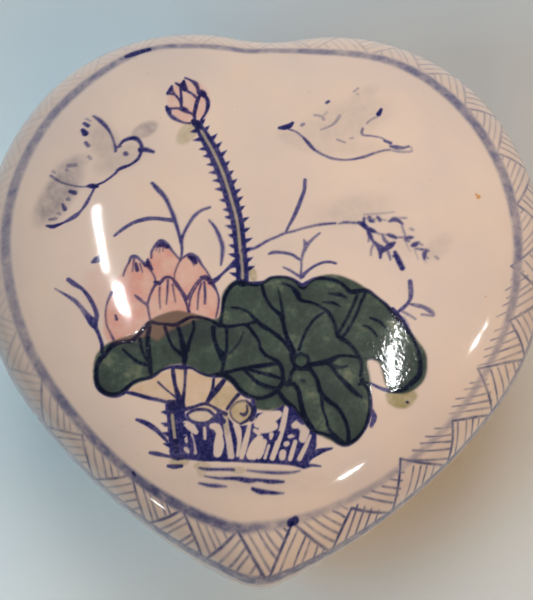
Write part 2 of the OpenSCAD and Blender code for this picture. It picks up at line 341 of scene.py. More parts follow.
LOTUS = """
.75: -18.9 3.6 .3, -18.9 4.7 .4, -18.2 5.9 .6, -17.4 6.6 .7, -16.4 6.0 .7, -15.3 4.7 .35
     -14.4 3.7 .3, -14.0 3.3 .4
.90: -17.9 5.8 .8, -17.1 6.0 1.0, -16.4 5.6 .7
.60: -18.0 5.5 .25, -18.1 4.8 .15
.60: -17.5 5.6 .25, -17.6 4.6 .15
.60: -17.0 5.5 .25, -17.0 4.8 .15
.90: -19.5 3.3 .4, -19.4 2.6 .8, -18.7 1.6 .4
.90: -19.9 2.3 .5, -19.3 2.7 .6
.70: -23.5 .5 .3, -23.2 1.6 .3, -22.6 2.9 .35, -22.3 3.7 .6, -21.5 3.8 .6, -20.7 3.2 .4, -20 2.5 .6
     -19.3 2.0 .5, -18.7 1.1 .3, -18.2 .2 .3, -18.1 -.8 .35, -18.6 -2.0 .3, -19.0 -3.3 .3
     -19.3 -4.3 .5, -19.9 -4.1 .4, -20.6 -3.4 .3, -21.4 -2.9 .3
.80: -21.5 2.6 .5, -21.2 1.5 .7
.60: -21.8 3.4 .4, -22.0 1.2 .2
.60: -20.8 2.6 .3, -20.3 1.1 .2
.70: -13.9 3.4 .3, -13.2 4.0 .35, -12.3 4.3 .6, -11.2 3.6 .7, -10.4 2.5 .35, -9.5 1.3 .3, -8.9 .3 .3
.90: -12.6 3.9 .6, -11.8 3.4 .9, -11.4 2.8 .5
.60: -12.0 3.0 .3, -11.7 2.4 .2
.60: -14.1 3.1 .3, -14.5 2.2 .3, -14.9 .9 .25, -14.9 -.1 .25
.75: -14.2 -1.0 .25, -13.4 -2.3 .35, -12.7 -3.4 .7, -12.3 -2.6 .35, -11.6 -1.2 .3, -10.8 -.1 .35
.75: -19.2 -4.4 .35, -18.9 -3.0 .35, -18.3 -1.6 .35, -17.7 -.8 .5, -17.1 -.5 .6, -16.6 .1 .5
     -15.9 .3 .5, -15.2 0 .4, -14.6 -.9 .7, -14.2 -1.4 .6, -13.5 -2.7 .35, -12.9 -3.9 .4
     -12.6 -4.6 .4, -12.3 -5.6 .5
.90: -18.1 -.6 .6, -17.4 -.8 .7
.60: -17.3 -1.5 .35, -17.3 -3.0 .25, -17.1 -5.1 .25
.70: -16.0 -.2 .4, -16.0 -2.0 .35, -16.1 -4.4 .2
.60: -15.2 -1.0 .35, -14.8 -3.0 .25, -14.6 -4.0 .2
.75: -12.3 -4.7 .35, -12.1 -3.3 .3, -11.5 -1.8 .3, -10.7 -.5 .35, -9.9 .4 .7, -9.1 0 .8, -8.5 -.8 .7
     -7.8 -2.0 .3, -7.4 -3.3 .3, -7.5 -5.0 .3, -7.8 -6.6 .3
.90: -10.4 .3 .6, -9.4 .1 .8, -8.6 -.6 .8
.70: -10.4 -.7 .35, -10.8 -2.6 .3, -10.9 -5.2 .25
.80: -9.9 -.4 .35, -9.7 -2.5 .4, -9.7 -4.2 .35
.65: -25.3 -2.4 .6, -26 -4.2 .3, -26.2 -6.0 .3, -25.9 -8.0 .3, -25.2 -9.4 .35, -24.7 -10.4 .5
.65: -21.2 -3.2 .3, -20.2 -4.0 .35, -19.3 -4.6 .5, -19.0 -5.8 .35, -18.7 -7.0 .35
.80: -24.5 -6.3 .3, -24.3 -7.0 .5
"""

LEAF_LEFT = """
.90: -6.3 -8.0 .7, -7.4 -7.8 .7, -8.8 -7.0 .5, -10.4 -6.6 .5, -12.0 -6.6 .5, -13.2 -7.2 .6
     -14.5 -7.9 .7, -16.0 -7.8 .5, -17.5 -7.7 .5, -18.6 -7.5 .7, -19.5 -8.3 .7, -20.5 -9.6 .7
     -21.6 -10.6 .8, -23.0 -10.8 .7, -24.5 -11.2 .9, -25.3 -11.9 .8, -25.9 -12.8 .8, -26.8 -13.7 .9
     -27.3 -15.0 .7, -27.3 -16.8 .8, -26.9 -18.2 .9, -25.8 -19.2 .8, -24.2 -19.6 .9, -22.7 -19.1 .9
     -21.6 -17.9 .6, -20.2 -17.1 .5, -18.6 -16.8 .6, -17.6 -16.3 .6, -16.4 -15.5 .4, -15.0 -15.0 .5
     -13.0 -15.0 .8, -11.6 -15.1 .4, -10.3 -15.8 .4, -9.0 -16.3 .4, -7.8 -16.3 .7, -6.7 -16.1 1.1
.90: -16.2 -8.3 .6, -15.6 -10.0 .5, -14.7 -11.7 .5, -13.5 -12.7 .7, -12.8 -13.2 1
.90: -14.2 -7.9 .6, -13.6 -9.5 .7, -13.1 -11.5 1.0, -12.8 -13.0 1.0, -12.8 -14.8 .7
.85: -11.5 -7.3 .5, -11.4 -8.5 .5, -12.0 -10.5 .6, -12.4 -12.2 .8
.90: -18.8 -8.3 .8, -19.0 -10.0 .8, -18.8 -12.0 .8, -18.5 -14.0 .8, -18.3 -15.8 .7, -18.0 -16.5 .6
.85: -20.3 -10.3 .6, -19.9 -12.0 .5, -19.2 -13.4 .6, -18.6 -14.4 .6
.85: -23.0 -12.1 .4, -21.8 -13.2 .5, -20.4 -14.2 .6, -19.0 -14.7 .6
.90: -8.2 -8.3 .8, -8.0 -10.0 .7, -7.4 -11.8 .8, -6.6 -13.0 1.3, -6.4 -14.5 .6, -6.7 -15.8 .6
.85: -6.0 -8.4 .7, -5.9 -10.0 .5, -5.9 -12.0 .6, -6.3 -13.0 .8
.60: -3.2 -9.0 .25, -3.9 -10.8 .3, -5.0 -12.2 .5, -6.0 -13.0 .6
.90: -6.3 -8.1 .7, -4.5 -7.9 .5, -2.9 -7.7 .5, -1.6 -9.0 .6, -.6 -10.5 .5, -.3 -11.7 .6, .7 -12.9 .6
     2.0 -13.5 .7, 3.0 -14.4 .8, 3.4 -15.8 .7, 3.4 -17.3 .8, 2.6 -18.4 .8, 1.6 -19.3 .8, 0 -19.9 .6
     -1.6 -19.8 .7, -2.8 -19.3 .9, -3.8 -18.4 .8, -4.8 -17.1 .8, -6.0 -16.3 .9
.90: -6.8 -16.0 .9, -5.2 -15.6 .6, -3.2 -15.1 .6, -1.6 -14.8 .7, .3 -14.5 .8, 2.2 -14.2 .6
.85: -3.0 -15.2 .6, -2.0 -16.2 .6, -.8 -17.3 .7, .8 -18.0 .8, 2.4 -18.3 .6
.85: -2.4 -15.1 .6, -.5 -15.7 .6, 1.4 -16.1 .7, 3.0 -16.6 .5
"""

LEAF_RIGHT = """
.90: -7.0 -7.9 .7, -6.8 -6.0 .5, -6.6 -4.0 .6, -6.2 -2.5 .6, -5.3 -1.1 .7, -4.2 -.4 .8, -2.8 -.6 .7
     -1.2 -.7 .9, .2 -.3 .6, 1.2 .4 .5, 2.8 .6 .5, 4.5 .4 .5, 5.7 -.3 .6, 6.5 -1.0 1.1, 7.5 -.2 .7
     9.0 .5 .6, 11.0 .4 .6, 12.7 -.1 .7, 13.8 -1.0 .7, 14.6 -1.7 .9, 16.0 -1.5 .8, 17.5 -1.5 .7
     19.0 -2.6 .5, 20.5 -3.8 .6, 21.7 -5.3 .8, 23.2 -7.0 .7, 24.5 -8.6 .7, 25.3 -10.0 .6
     26.0 -12.0 .7, 26.2 -13.8 .8, 26.0 -15.3 .9, 25.0 -16.5 .9, 23.7 -17.6 .8, 22.0 -18.2 .7
     20.5 -18.1 .6, 19.0 -17.6 .5, 17.5 -17.0 .4, 16.0 -17.3 .5
.80: -5.2 -4.8 .35, -3.6 -5.0 .45, -2.4 -5.6 .5
.90: -2.4 -5.6 .5, -1.2 -6.8 .7, 0 -7.9 .8, 1.2 -8.6 .7, 2.6 -9.6 .7, 3.8 -10.8 .7, 4.8 -12.0 .9
.80: -2.9 -7.8 .5, -1.2 -7.2 .6, .2 -7.8 .6
.90: -.2 -1.0 .6, .3 -2.8 .6, 1.4 -4.6 .6, 2.8 -5.9 .8, 3.3 -7.0 .7, 3.8 -9.0 .7, 4.6 -11.0 .9
     5.2 -12.2 .9
.70: 2.4 -1.2 .25, 2.8 -3.0 .4, 3.2 -5.0 .55, 3.4 -6.6 .7
.90: 3.2 -.5 .35, 4.7 -1.1 .6, 5.6 -2.2 1.0, 6.3 -3.3 .65, 8.0 -3.7 .5, 9.6 -4.4 .5, 10.8 -5.3 .7
     11.8 -6.9 .6, 12.2 -8.5 .7, 12.7 -9.5 .9, 14.0 -10.3 .8, 15.0 -11.3 .7, 16.0 -12.8 .7
     16.4 -14.3 .5, 16.2 -15.8 .6
.85: 10.0 -5.4 .5, 8.5 -6.6 .5, 7.4 -8.2 .5, 6.6 -10.0 .5, 6.0 -11.8 .6
.90: 7.6 -14.2 .8, 9.4 -14.0 .9, 11.2 -13.5 1.0, 12.6 -12.7 .6, 14.2 -12.6 .5, 15.6 -12.8 .5
.85: 11.0 -14.1 .8, 12.6 -14.6 .6, 14.0 -14.3 .35
.90: 11.5 -14.6 .7, 12.6 -16.0 .7, 14.0 -17.4 .9, 15.2 -18.6 .8, 16.4 -19.4 .4
.90: 7.8 -14.8 .8, 9.0 -16.6 .7, 9.6 -18.6 .8, 10.8 -20.0 .8, 12.4 -21.2 .7, 13.6 -23.0 .6
     14.2 -24.8 .6, 14.3 -26.6 .8
.85: 9.8 -19.2 .7, 10.0 -21.4 .5, 10.6 -23.0 .4, 11.0 -24.6 .5, 12.3 -26.0 .7, 13.6 -27.0 .7
.90: 16.5 -16.6 .9, 17.4 -18.0 .6, 17.8 -19.8 .7, 17.8 -21.6 .7, 17.3 -23.6 .6, 16.6 -25.0 .5
     15.4 -26.3 .6, 14.0 -27.1 .7, 12.6 -26.8 .7, 11.5 -25.9 .7, 10.2 -25.5 .5, 8.8 -25.2 .7
     8.0 -24.2 .9, 7.0 -22.6 .9, 6.4 -20.4 .8, 6.0 -18.6 .8, 5.2 -17.5 .8, 4.2 -17.5 .8, 3.6 -17.3 .7
.85: 4.8 -15.6 .7, 4.6 -16.8 .7, 4.2 -17.6 .9
.80: 5.2 -14.9 .5, 6.2 -15.1 .4, 7.4 -15.0 .6
.90: 2.6 -18.6 .8, 3.6 -20.0 .8, 4.8 -21.2 .9, 6.0 -22.4 .7, 7.2 -23.6 .8, 8.0 -24.4 .8
.85: 4.8 -12.6 .8, 4.9 -13.6 .7, 5.4 -14.6 .7, 4.9 -15.6 .6
.85: 15.8 -1.8 .6, 15.0 -4.0 .55, 14.0 -6.2 .55, 12.8 -8.4 .6, 12.4 -9.3 .7
.85: 17.0 -1.9 .6, 16.2 -3.8 .55, 15.2 -6.2 .55, 14.0 -8.4 .6, 13.2 -9.5 .6
.80: 11.0 -2.1 .35, 12.2 -2.2 .7, 13.0 -2.3 .7, 13.9 -2.8 .25
.80: 10.0 -3.6 .35, 11.2 -3.6 .6, 12.2 -3.9 .5, 12.9 -4.3 .25
.80: 17.8 -6.1 .35, 18.8 -6.4 .55, 19.8 -7.0 .5, 20.6 -8.1 .25
.80: 16.7 -7.4 .3, 17.6 -7.7 .5, 18.4 -8.4 .55, 19.0 -9.2 .3
.40: 16.5 -13.0 .4, 18.2 -13.0 .5, 19.8 -13.1 .4
.95: 21.6 -4.6 .9, 23.0 -6.5 1.2, 24.3 -8.3 .9
.75: 18.0 -21.4 .7, 18.5 -22.6 .9, 18.0 -24.0 .6
.70: 6.6 -16.8 .6, 6.9 -17.0 .6
.80: 6.4 -12.4 .6, 7.4 -12.9 .6, 7.6 -13.7 .6, 7.2 -14.5 .6, 6.4 -14.8 .5, 5.5 -14.4 .6, 5.2 -13.6 .6
     5.5 -12.8 .6, 6.4 -12.4 .6
"""

# Between the stems the brush filled the ground, and left blades and petals bare in it.
REED_GROUND = """
-15.7 -20.8, -15.3 -24, -15.0 -27, -14.5 -29.8, -12 -30, -8 -30.2, -4 -30.3, 0 -30.3
4 -30.5, 7.2 -31.0, 8.4 -29.2, 9.0 -27.6, 8.9 -25.2, 7.5 -24.2, 6.3 -22.5, 4.9 -20.6, 3.6 -21
1 -22.2, -.8 -22.5, -1.2 -24, -4 -24.4, -5.6 -23, -6.8 -22.5, -8.4 -23.9, -11.2 -24.2
-12.4 -22.8, -12.5 -21, -14 -20.4
"""
REED_BARE = """
.92: -11.5 -22.9 .9, -10.6 -22.9 1.8, -9.6 -22.9 2.0, -8.6 -22.9 1.8, -7.8 -22.9 .9
.92: -12.3 -24.2 .9, -11.4 -24.8 1.3, -10.6 -25.6 .8
.85: -12.3 -26.3 .6, -12.1 -27.1 .5
.80: -12.2 -28.3 .7, -11.8 -28.7 .6
.70: -11.3 -25.8 .4, -11.0 -27.2 .6, -10.6 -28.9 .6
.85: -9.2 -24.9 .5, -9.1 -26.6 .5
.92: -8.0 -24.6 .9, -7.2 -24.8 1.3, -6.7 -25.8 1.1
.92: -6.8 -26.2 1.2, -6.8 -27.6 1.7, -7.0 -28.9 1.4
.85: -5.9 -22.8 .8, -5.6 -25.0 1.0, -5.1 -27.4 1.1, -4.8 -29.4 1.1
.90: -4.1 -24.4 1.0, -3.7 -25.4 1.1, -3.5 -27.0 .7, -3.7 -29.2 .6
.90: -1.9 -24.3 .6, -2.3 -26.3 .9, -2.9 -28.6 1.0, -3.1 -29.6 .7
.95: -.6 -24.2 1.2, .4 -23.5 2.2, 1.6 -23.0 2.0, 2.8 -22.5 1.2
.95: .2 -25.0 1.3, 1.2 -24.6 1.8, 2.0 -24.4 1.5
.92: -1.0 -25.2 .7, -.4 -25.6 .8
.92: 1.7 -25.8 .8, 1.6 -26.4 .5
.95: -.2 -26.5 1.2, -.7 -27.8 2.2, -1.4 -29.1 1.9
.92: .5 -27.0 1.0, 0 -28.4 1.3, -.3 -29.3 1.0
.92: 4.1 -21.3 .8, 3.6 -24.0 .95, 2.8 -27.0 .95, 1.9 -29.6 .9
.88: 1.3 -27.6 .5, .7 -29.6 .55
.92: 5.4 -24.3 1.0, 6.4 -24.0 1.6, 7.1 -25.0 1.6, 6.8 -26.4 1.3
.88: 4.6 -26.1 .6, 5.2 -25.9 .6
.88: 4.1 -27.3 .9, 4.3 -27.2 .8
.88: 3.6 -28.7 1.1, 3.5 -29.4 1.1
.90: 5.6 -26.9 .7, 5.1 -28.6 .8, 4.8 -29.7 .7
.88: 8.0 -25.9 .5, 7.3 -27.6 .7, 6.3 -29.6 .8
"""

WATER_PLANTS = """
.85: -22.0 -19.2 .5, -20.6 -19.5 .6, -18.5 -20.1 .6, -16.5 -20.5 .55, -15.0 -21.0 .6, -13.6 -21.6 .7
.80: -17.0 -17.5 .35, -15.8 -18.6 .25, -14.4 -19.7 .3, -13.5 -20.5 .5
.90: -14.7 -15.2 .6, -14.5 -16.5 .7, -14.2 -18.0 .6, -13.7 -19.6 .9, -13.2 -21.0 1.4
.85: -12.6 -15.2 .6, -12.6 -17.0 .45, -12.7 -19.0 .5, -13.0 -20.8 .9
.85: -7.9 -16.8 .4, -8.0 -18.2 .5, -8.2 -19.4 .8, -9.0 -21.0 .6
.88: -6.2 -17.1 .7, -7.1 -18.3 .9, -8.0 -19.5 .8, -8.5 -20.4 .4
.85: -12.8 -22.0 .8, -11.0 -21.5 .5, -9.4 -21.0 .5, -8.0 -21.4 .4, -6.8 -22.2 .7, -5.8 -22.6 .7
.85: -3.8 -19.4 .6, -4.8 -20.6 .5, -5.6 -21.8 .5
.75: -3.4 -22.5 .3, -2.8 -22.7 .6, -2.3 -22.1 .4, -2.4 -21.2 .3
.90: -7.0 -22.9 1.0, -6.2 -23.8 .9
.85: -7.5 -23.0 .5, -8.6 -22.1 .5, -10.0 -21.9 .5, -11.4 -22.2 .5, -12.1 -22.9 .5, -11.4 -23.8 .5
     -10.0 -24.2 .6, -8.6 -24.0 .6, -7.5 -23.0 .5
.85: -2.4 -20.5 .4, -1.5 -21.4 .7, -1.4 -22.4 .7, -2.2 -23.5 .5, -3.4 -24.2 .3
.55: -3.4 -24.2 .3, -4.6 -23.4 .3, -5.1 -22.2 .35, -4.7 -21.2 .35, -3.6 -20.5 .35, -2.4 -20.4 .4
.90: -1.4 -20.3 .7, -1.1 -22.0 .7, -1.6 -23.4 .8
.90: -13.9 -27.6 1.9, -13.5 -29.4 1.5
.85: -15.0 -31.0 .5, -14.0 -31.1 .7, -12.8 -31.0 .5
.90: -11.9 -25.9 .5, -11.4 -27.0 .7, -11.2 -28.6 .8
.90: -10.0 -27.2 .8, -9.6 -29.0 1.2
.90: 11.6 -27.8 .3, 10.4 -28.1 .6, 9.2 -28.5 1.0, 8.0 -29.2 1.1, 7.0 -30.4 1.1
.85: 7.0 -30.8 .8, 8.4 -30.6 .45, 9.8 -30.7 .2
.85: 5.2 -21.4 .9, 5.8 -22.8 1.0, 6.8 -23.8 .7
.90: 5.3 -25.6 .5, 5.6 -25.7 .4
.90: 2.4 -26.5 .5, 2.9 -25.4 .4
.85: -12.0 -29.7 .5, -9.0 -30.0 .5, -6.0 -30.0 .4, -3.0 -30.1 .5, 0 -30.2 .45, 3.0 -30.3 .5
     6.0 -30.5 .6, 7.4 -30.7 .7
.80: -18.0 -28.9 .5, -16.8 -29.1 .7, -15.4 -29.4 .5, -14.4 -29.6 .5
.88: -20.4 -23.6 .4, -19.2 -24.0 .7, -17.9 -24.7 .8, -16.8 -25.5 .7, -16.0 -26.4 .45, -15.2 -27.2 .3
.60: -17.4 -24.9 .4, -16.2 -25.9 .5, -15.2 -27.0 .3
.80: -16.2 -22.4 .3, -15.4 -22.3 .6
.80: -15.7 -24.6 .3, -15.0 -24.4 .6
"""

RIPPLES = """
.80: -9.9 -31.3 .25, -8.6 -31.5 .45, -6.6 -31.5 .4, -4.6 -31.5 .45, -4.2 -31.6 .2
.70: -2.1 -31.6 .25, 0 -31.8 .4, 2.6 -31.9 .5, 5.0 -31.8 .4, 6.4 -31.5 .2
.85: -9.0 -32.6 .15, -6.8 -32.9 .35, -4.6 -32.9 .5, -3.2 -33.0 .7, -1.8 -33.2 .8, -.2 -33.1 .5
     1.4 -33.3 .65, 2.6 -33.3 .6, 3.8 -33.3 .3
.75: -9.9 -33.7 .25, -8.4 -34.0 .55, -7.0 -34.1 .6, -5.5 -34.2 .25
.90: -1.2 -34.5 .5, 0 -34.9 .8, 1.2 -35.0 .6, 2.4 -35.1 .5, 3.8 -35.1 .15
"""

# Stems that carry thorns: their middle line and the width there.
LONG_STEM = """
.92: -12.0 28.3 1.3, -10.6 25.8 1.9, -9.3 23.5 2.2, -8.2 21.2 2.3, -7.2 18.8 2.3, -6.4 16.5 2.3
     -5.7 14.2 2.3, -5.0 11.8 2.2, -4.5 9.5 2.2, -4.2 7.0 2.1, -3.9 4.5 2.1, -3.6 2.0 2.1, -3.5 -.2 2.1
"""
SHORT_STEM = """
.92: -14.7 -21.2 1.4, -14.4 -24.0 1.9, -14.0 -26.6 2.1, -13.7 -28.6 2.2
"""

# Closed outlines of the coloured washes, as x y points.
PINK_PETALS = """
-26.0 -3.5, -24.6 -.5, -23.4 1.5, -22.0 3.6, -20.0 2.6, -18.8 4.8, -17.4 6.6, -15.4 4.8
-14.0 3.6, -12.2 4.3, -10.2 2.4, -8.8 .2, -7.6 -2.4, -7.2 -4.6, -7.7 -6.7, -10.5 -6.8
-13.4 -8.0, -15.6 -9.0, -17.4 -10.6, -18.9 -9.8, -21.5 -10.6, -24.8 -11.2, -26.4 -9.0, -26.3 -5.5
"""
GREEN_LEAVES = """
-27.9 -15.0, -27.4 -12.8, -25.6 -11.0, -23.0 -10.0, -20.8 -9.0, -18.8 -7.2, -17.0 -6.2
-14.5 -5.5, -12.5 -5.7, -10.5 -6.2, -7.8 -6.8, -7.0 -5.2, -6.9 -2.8, -6.0 -1.1, -4.6 -.1
-2.6 -.3, -.8 -.6, 1.0 .5, 3.0 .8, 5.0 .3, 6.6 -.9, 8.2 .3, 10.0 1.1, 12.3 1.2, 15.0 .3
17.2 -1.0, 19.5 -2.7, 21.5 -4.5, 23.5 -6.8, 25.4 -9.2, 27.0 -11.3, 27.4 -13.4, 27.0 -15.8
25.6 -17.6, 23.4 -18.6, 21.5 -18.4, 20.4 -17.3, 19.9 -15.6, 19.3 -13.8, 18.0 -13.0
17.4 -13.6, 17.8 -16.0, 18.0 -18.0, 18.0 -21.0, 17.3 -24.0, 15.8 -26.4, 13.6 -27.4
11.4 -26.6, 9.6 -25.8, 8.0 -25.0, 6.2 -22.8, 4.8 -21.2, 3.4 -21.2, 1.6 -21.9, -.8 -21.7
-1.2 -20.2, -2.8 -19.6, -3.6 -19.0, -5.5 -17.3, -7.6 -16.4, -9.2 -16.4, -11.0 -15.3
-13.0 -14.6, -15.2 -14.8, -17.0 -16.0, -18.8 -17.1, -21.0 -18.0, -22.8 -19.3, -24.6 -19.9
-26.6 -19.1, -27.7 -17.4
"""
OCHRE_FAN = """
-21.8 -18.6, -19.0 -17.3, -16.5 -15.9, -14.0 -15.0, -11.0 -15.3, -9.0 -16.5, -6.0 -17.0
-4.2 -18.6, -3.4 -19.8, -2.0 -20.6, -1.2 -21.8, -1.4 -23.4, -3.2 -24.3, -5.0 -23.5, -6.4 -22.6
-8.0 -22.0, -12.0 -22.0, -13.4 -21.8, -16.0 -20.6, -19.0 -20.0, -21.0 -19.4
"""
OLIVE_SPILL = """
20.6 -18.3, 20.7 -20.0, 22.0 -20.9, 23.6 -21.0, 25.0 -20.0, 25.6 -18.4, 23.0 -17.6
"""

# The painted line round the picture: millimetres round the shoulder from the heart's point,
# millimetres out from the shoulder, and the line's width. Its ink comes and goes on the way.
FIELD_BAND = """
1: -4 -.2 1.2, 0 -.35 1.2, 5 -.5 1.2, 15 -.35 1.2, 25 -.2 1.2, 35 .1 1.2, 45 .2 1.2, 55 .25 1.2
   62 .15 1.4, 70 -.35 1.6, 80 -.75 1.7, 90 -.65 1.7, 100 -.2 1.7, 110 .2 1.6, 115 .1 1.5
   123 -.5 1.4, 128 -.55 1.4, 133 .2 1.3, 136 .45 1.3, 142 -.1 1.3, 150 .45 1.2, 155 1.15 1.1
   160 1.35 1.2, 168 .6 1.4, 178 .2 1.6, 190 -.05 1.8, 204 .3 1.8, 215 .4 1.7, 225 .3 1.7
   235 -.15 1.8, 245 -.15 1.7, 255 .15 1.6, 265 .3 1.5, 270 .15 1.4, 273.5 -.35 1.2, 278.5 -.5 1.2
"""
BAND_FADE = (
    (0, 0.42), (8, 0.32), (25, 0.28), (48, 0.32), (60, 0.40), (75, 0.52), (110, 0.55), (122, 0.46),
    (150, 0.46), (160, 0.50), (178, 0.48), (192, 0.44), (215, 0.40), (235, 0.52), (256, 0.72),
    (266, 0.80), (273.5, 0.46),
)
BAND_BLOTS = """
.95: 5.1 -.4 1.1, 6.0 -.5 1.2
.80: 157.5 1.3 .8, 160.0 1.4 1.1, 161.6 1.4 .8
.70: 250.6 -.3 .7, 251.0 -.2 .5
"""

# ---------------------------------------------------------------- laying on the paint

CELLS = 12          # cells of a paint sheet to the millimetre
INK_EDGE = 0.15     # half the width of the soft edge of a brush mark


def read_points(text):
    rows = text.strip().splitlines()
    return [[float(number) for number in point.split()] for row in rows for point in row.split(",")]


def read_strokes(text):
    """Rows of a motif as (ink, points)."""
    strokes = []
    for row in text.strip().splitlines():
        ink, colon, body = row.rpartition(":")
        points = [[float(number) for number in point.split()] for point in body.split(",")]
        if colon:
            strokes.append((float(ink), points))
        else:
            strokes[-1][1].extend(points)
    return strokes


def smooth_line(points, closed=False, step=0.3):
    """A Catmull-Rom curve through points, sampled about a step apart."""
    points = np.array(points, float)
    if closed:
        ends = np.vstack([points[-1:], points, points[:2]])
    else:
        ends = np.vstack([2 * points[0] - points[1], points, 2 * points[-1] - points[-2]])
    line = []
    for a, b, c, d in zip(ends[:-3], ends[1:-2], ends[2:-1], ends[3:]):
        count = max(1, math.ceil(np.linalg.norm((c - b)[:2]) / step))
        t = (np.arange(count) / count)[:, None]
        line.append(0.5 * (2 * b + (c - a) * t + (2 * a - 5 * b + 4 * c - d) * t ** 2
                           + (3 * b - a - 3 * c + d) * t ** 3))
    if not closed:
        line.append(points[-1:])
    return np.vstack(line)


def ease(value):
    value = np.clip(value, 0, 1)
    return value * value * (3 - 2 * value)


class Sheet:
    """A flat sheet of paint densities over a rectangle in millimetres."""

    def __init__(self, low, high):
        self.low = np.array(low, float)
        self.size = np.ceil((np.array(high) - self.low) * CELLS).astype(int)
        self.ink = np.zeros((self.size[1], self.size[0]))

    def window(self, low, high):
        """The rows and columns that cover a rectangle, and their x and y."""
        first = np.clip(np.floor((np.array(low) - self.low) * CELLS).astype(int), 0, self.size)
        last = np.clip(np.ceil((np.array(high) - self.low) * CELLS).astype(int) + 1, 0, self.size)
        x = self.low[0] + np.arange(first[0], last[0]) / CELLS
        y = self.low[1] + np.arange(first[1], last[1]) / CELLS
        return (slice(first[1], last[1]), slice(first[0], last[0])), x[None, :], y[:, None]

    def stroke(self, points, ink, edge=INK_EDGE):
        """A brush mark through points of x, y and width."""
        points = np.asarray(points, float)
        for (ax, ay, aw), (bx, by, bw) in zip(points[:-1], points[1:]):
            reach = max(aw, bw) / 2 + edge
            low = (min(ax, bx) - reach, min(ay, by) - reach)
            high = (max(ax, bx) + reach, max(ay, by) + reach)
            cells, x, y = self.window(low, high)
            if x.size == 0 or y.size == 0:
                continue
            dx, dy = bx - ax, by - ay
            t = ((x - ax) * dx + (y - ay) * dy) / max(dx * dx + dy * dy, 1e-9)
            t = np.clip(t, 0, 1)
            inside = (aw + (bw - aw) * t) / 2 - np.hypot(x - ax - dx * t, y - ay - dy * t)
            mark = ink * ease(inside / (2 * edge) + 0.5)
            self.ink[cells] = np.maximum(self.ink[cells], mark)

    def strokes(self, text, edge=INK_EDGE, spread=0):
        """Every brush mark of a motif, each widened by a spread."""
        for ink, points in read_strokes(text):
            line = smooth_line(points)
            line[:, 2] += spread
            self.stroke(line, ink, edge)

    def wash(self, centre, radii, turn, ink, edge=0.5):
        """A soft oval, where edge is the share of its radius over which it fades."""
        reach = max(radii) * (1 + edge)
        centre = np.array(centre)
        cells, x, y = self.window(centre - reach, centre + reach)
        along, across = direction(turn), direction(turn + 90)
        u = ((x - centre[0]) * along[0] + (y - centre[1]) * along[1]) / radii[0]
        v = ((x - centre[0]) * across[0] + (y - centre[1]) * across[1]) / radii[1]
        mark = ink * ease((1 - np.hypot(u, v)) / edge + 0.5)
        self.ink[cells] = np.maximum(self.ink[cells], mark)

    def fill(self, points, ink=1):
        """Everything inside a smooth closed outline."""
        line = smooth_line(points, closed=True)
        after = np.roll(line, -1, axis=0)
        cells, x, y = self.window(line.min(axis=0) - 1, line.max(axis=0) + 1)
        inside = np.zeros((y.size, x.size), bool)
        for (ax, ay), (bx, by) in zip(line, after):
            if ay == by:
                continue
            crosses = (y > min(ay, by)) & (y <= max(ay, by))
            inside ^= crosses & (x < ax + (y - ay) * (bx - ax) / (by - ay))
        self.ink[cells] = np.maximum(self.ink[cells], ink * inside)

    def soften(self, radius):
        """Blurs the sheet by so many millimetres."""
        reach = max(1, round(radius * CELLS))
        kernel = np.hanning(2 * reach + 3)[1:-1]
        kernel /= kernel.sum()
        for axis in (0, 1):
            self.ink = np.apply_along_axis(np.convolve, axis, self.ink, kernel, "same")

    def at(self, x, y):
        """The density at places on the sheet, and none outside it."""
        column = np.clip((x - self.low[0]) * CELLS, 0, self.size[0] - 1.001)
        row = np.clip((y - self.low[1]) * CELLS, 0, self.size[1] - 1.001)
        c, r = column.astype(int), row.astype(int)
        u, v = column - c, row - r
        ink = self.ink
        lower = ink[r, c] * (1 - u) + ink[r, c + 1] * u
        upper = ink[r + 1, c] * (1 - u) + ink[r + 1, c + 1] * u
        outside = (x < self.low[0]) | (y < self.low[1]) | (column > self.size[0] - 1.01)
        outside |= row > self.size[1] - 1.01
        return np.where(outside, 0, lower * (1 - v) + upper * v)


PLAN_LOW, PLAN_HIGH = (-52, -52), (52, 52)
THORN_STEP = 1.75
THORN_LENGTH = 1.15
CORE_WIDTH = 0.55
INK_SPREAD = 0.04      # how far the drawing has spread in the glaze, in all


def thorns(sheet, line, ink, seed):
    """Short, sharp marks that stand out and slightly up on both sides of a stem."""
    random = np.random.default_rng(seed)
    length = run_of(line[:, 0], line[:, 1])
    for side in (-1, 1):
        for distance in np.arange(0.8 + 0.5 * side, length[-1] - 0.5, THORN_STEP):
            distance += random.uniform(-0.25, 0.25)
            place = [np.interp(distance, length, line[:, k]) for k in range(3)]
            after = [np.interp(distance + 0.2, length, line[:, k]) for k in range(2)]
            along = np.array([after[0] - place[0], after[1] - place[1]])
            along /= np.linalg.norm(along)
            out = side * np.array([along[1], -along[0]])
            root = np.array(place[:2]) + out * place[2] * 0.35
            tip = root + (out - 0.35 * along) * THORN_LENGTH * random.uniform(0.9, 1.25)
            middle = (root + tip) / 2
            sheet.stroke([(*root, 0.95), (*middle, 0.6), (*tip, 0.12)], ink)


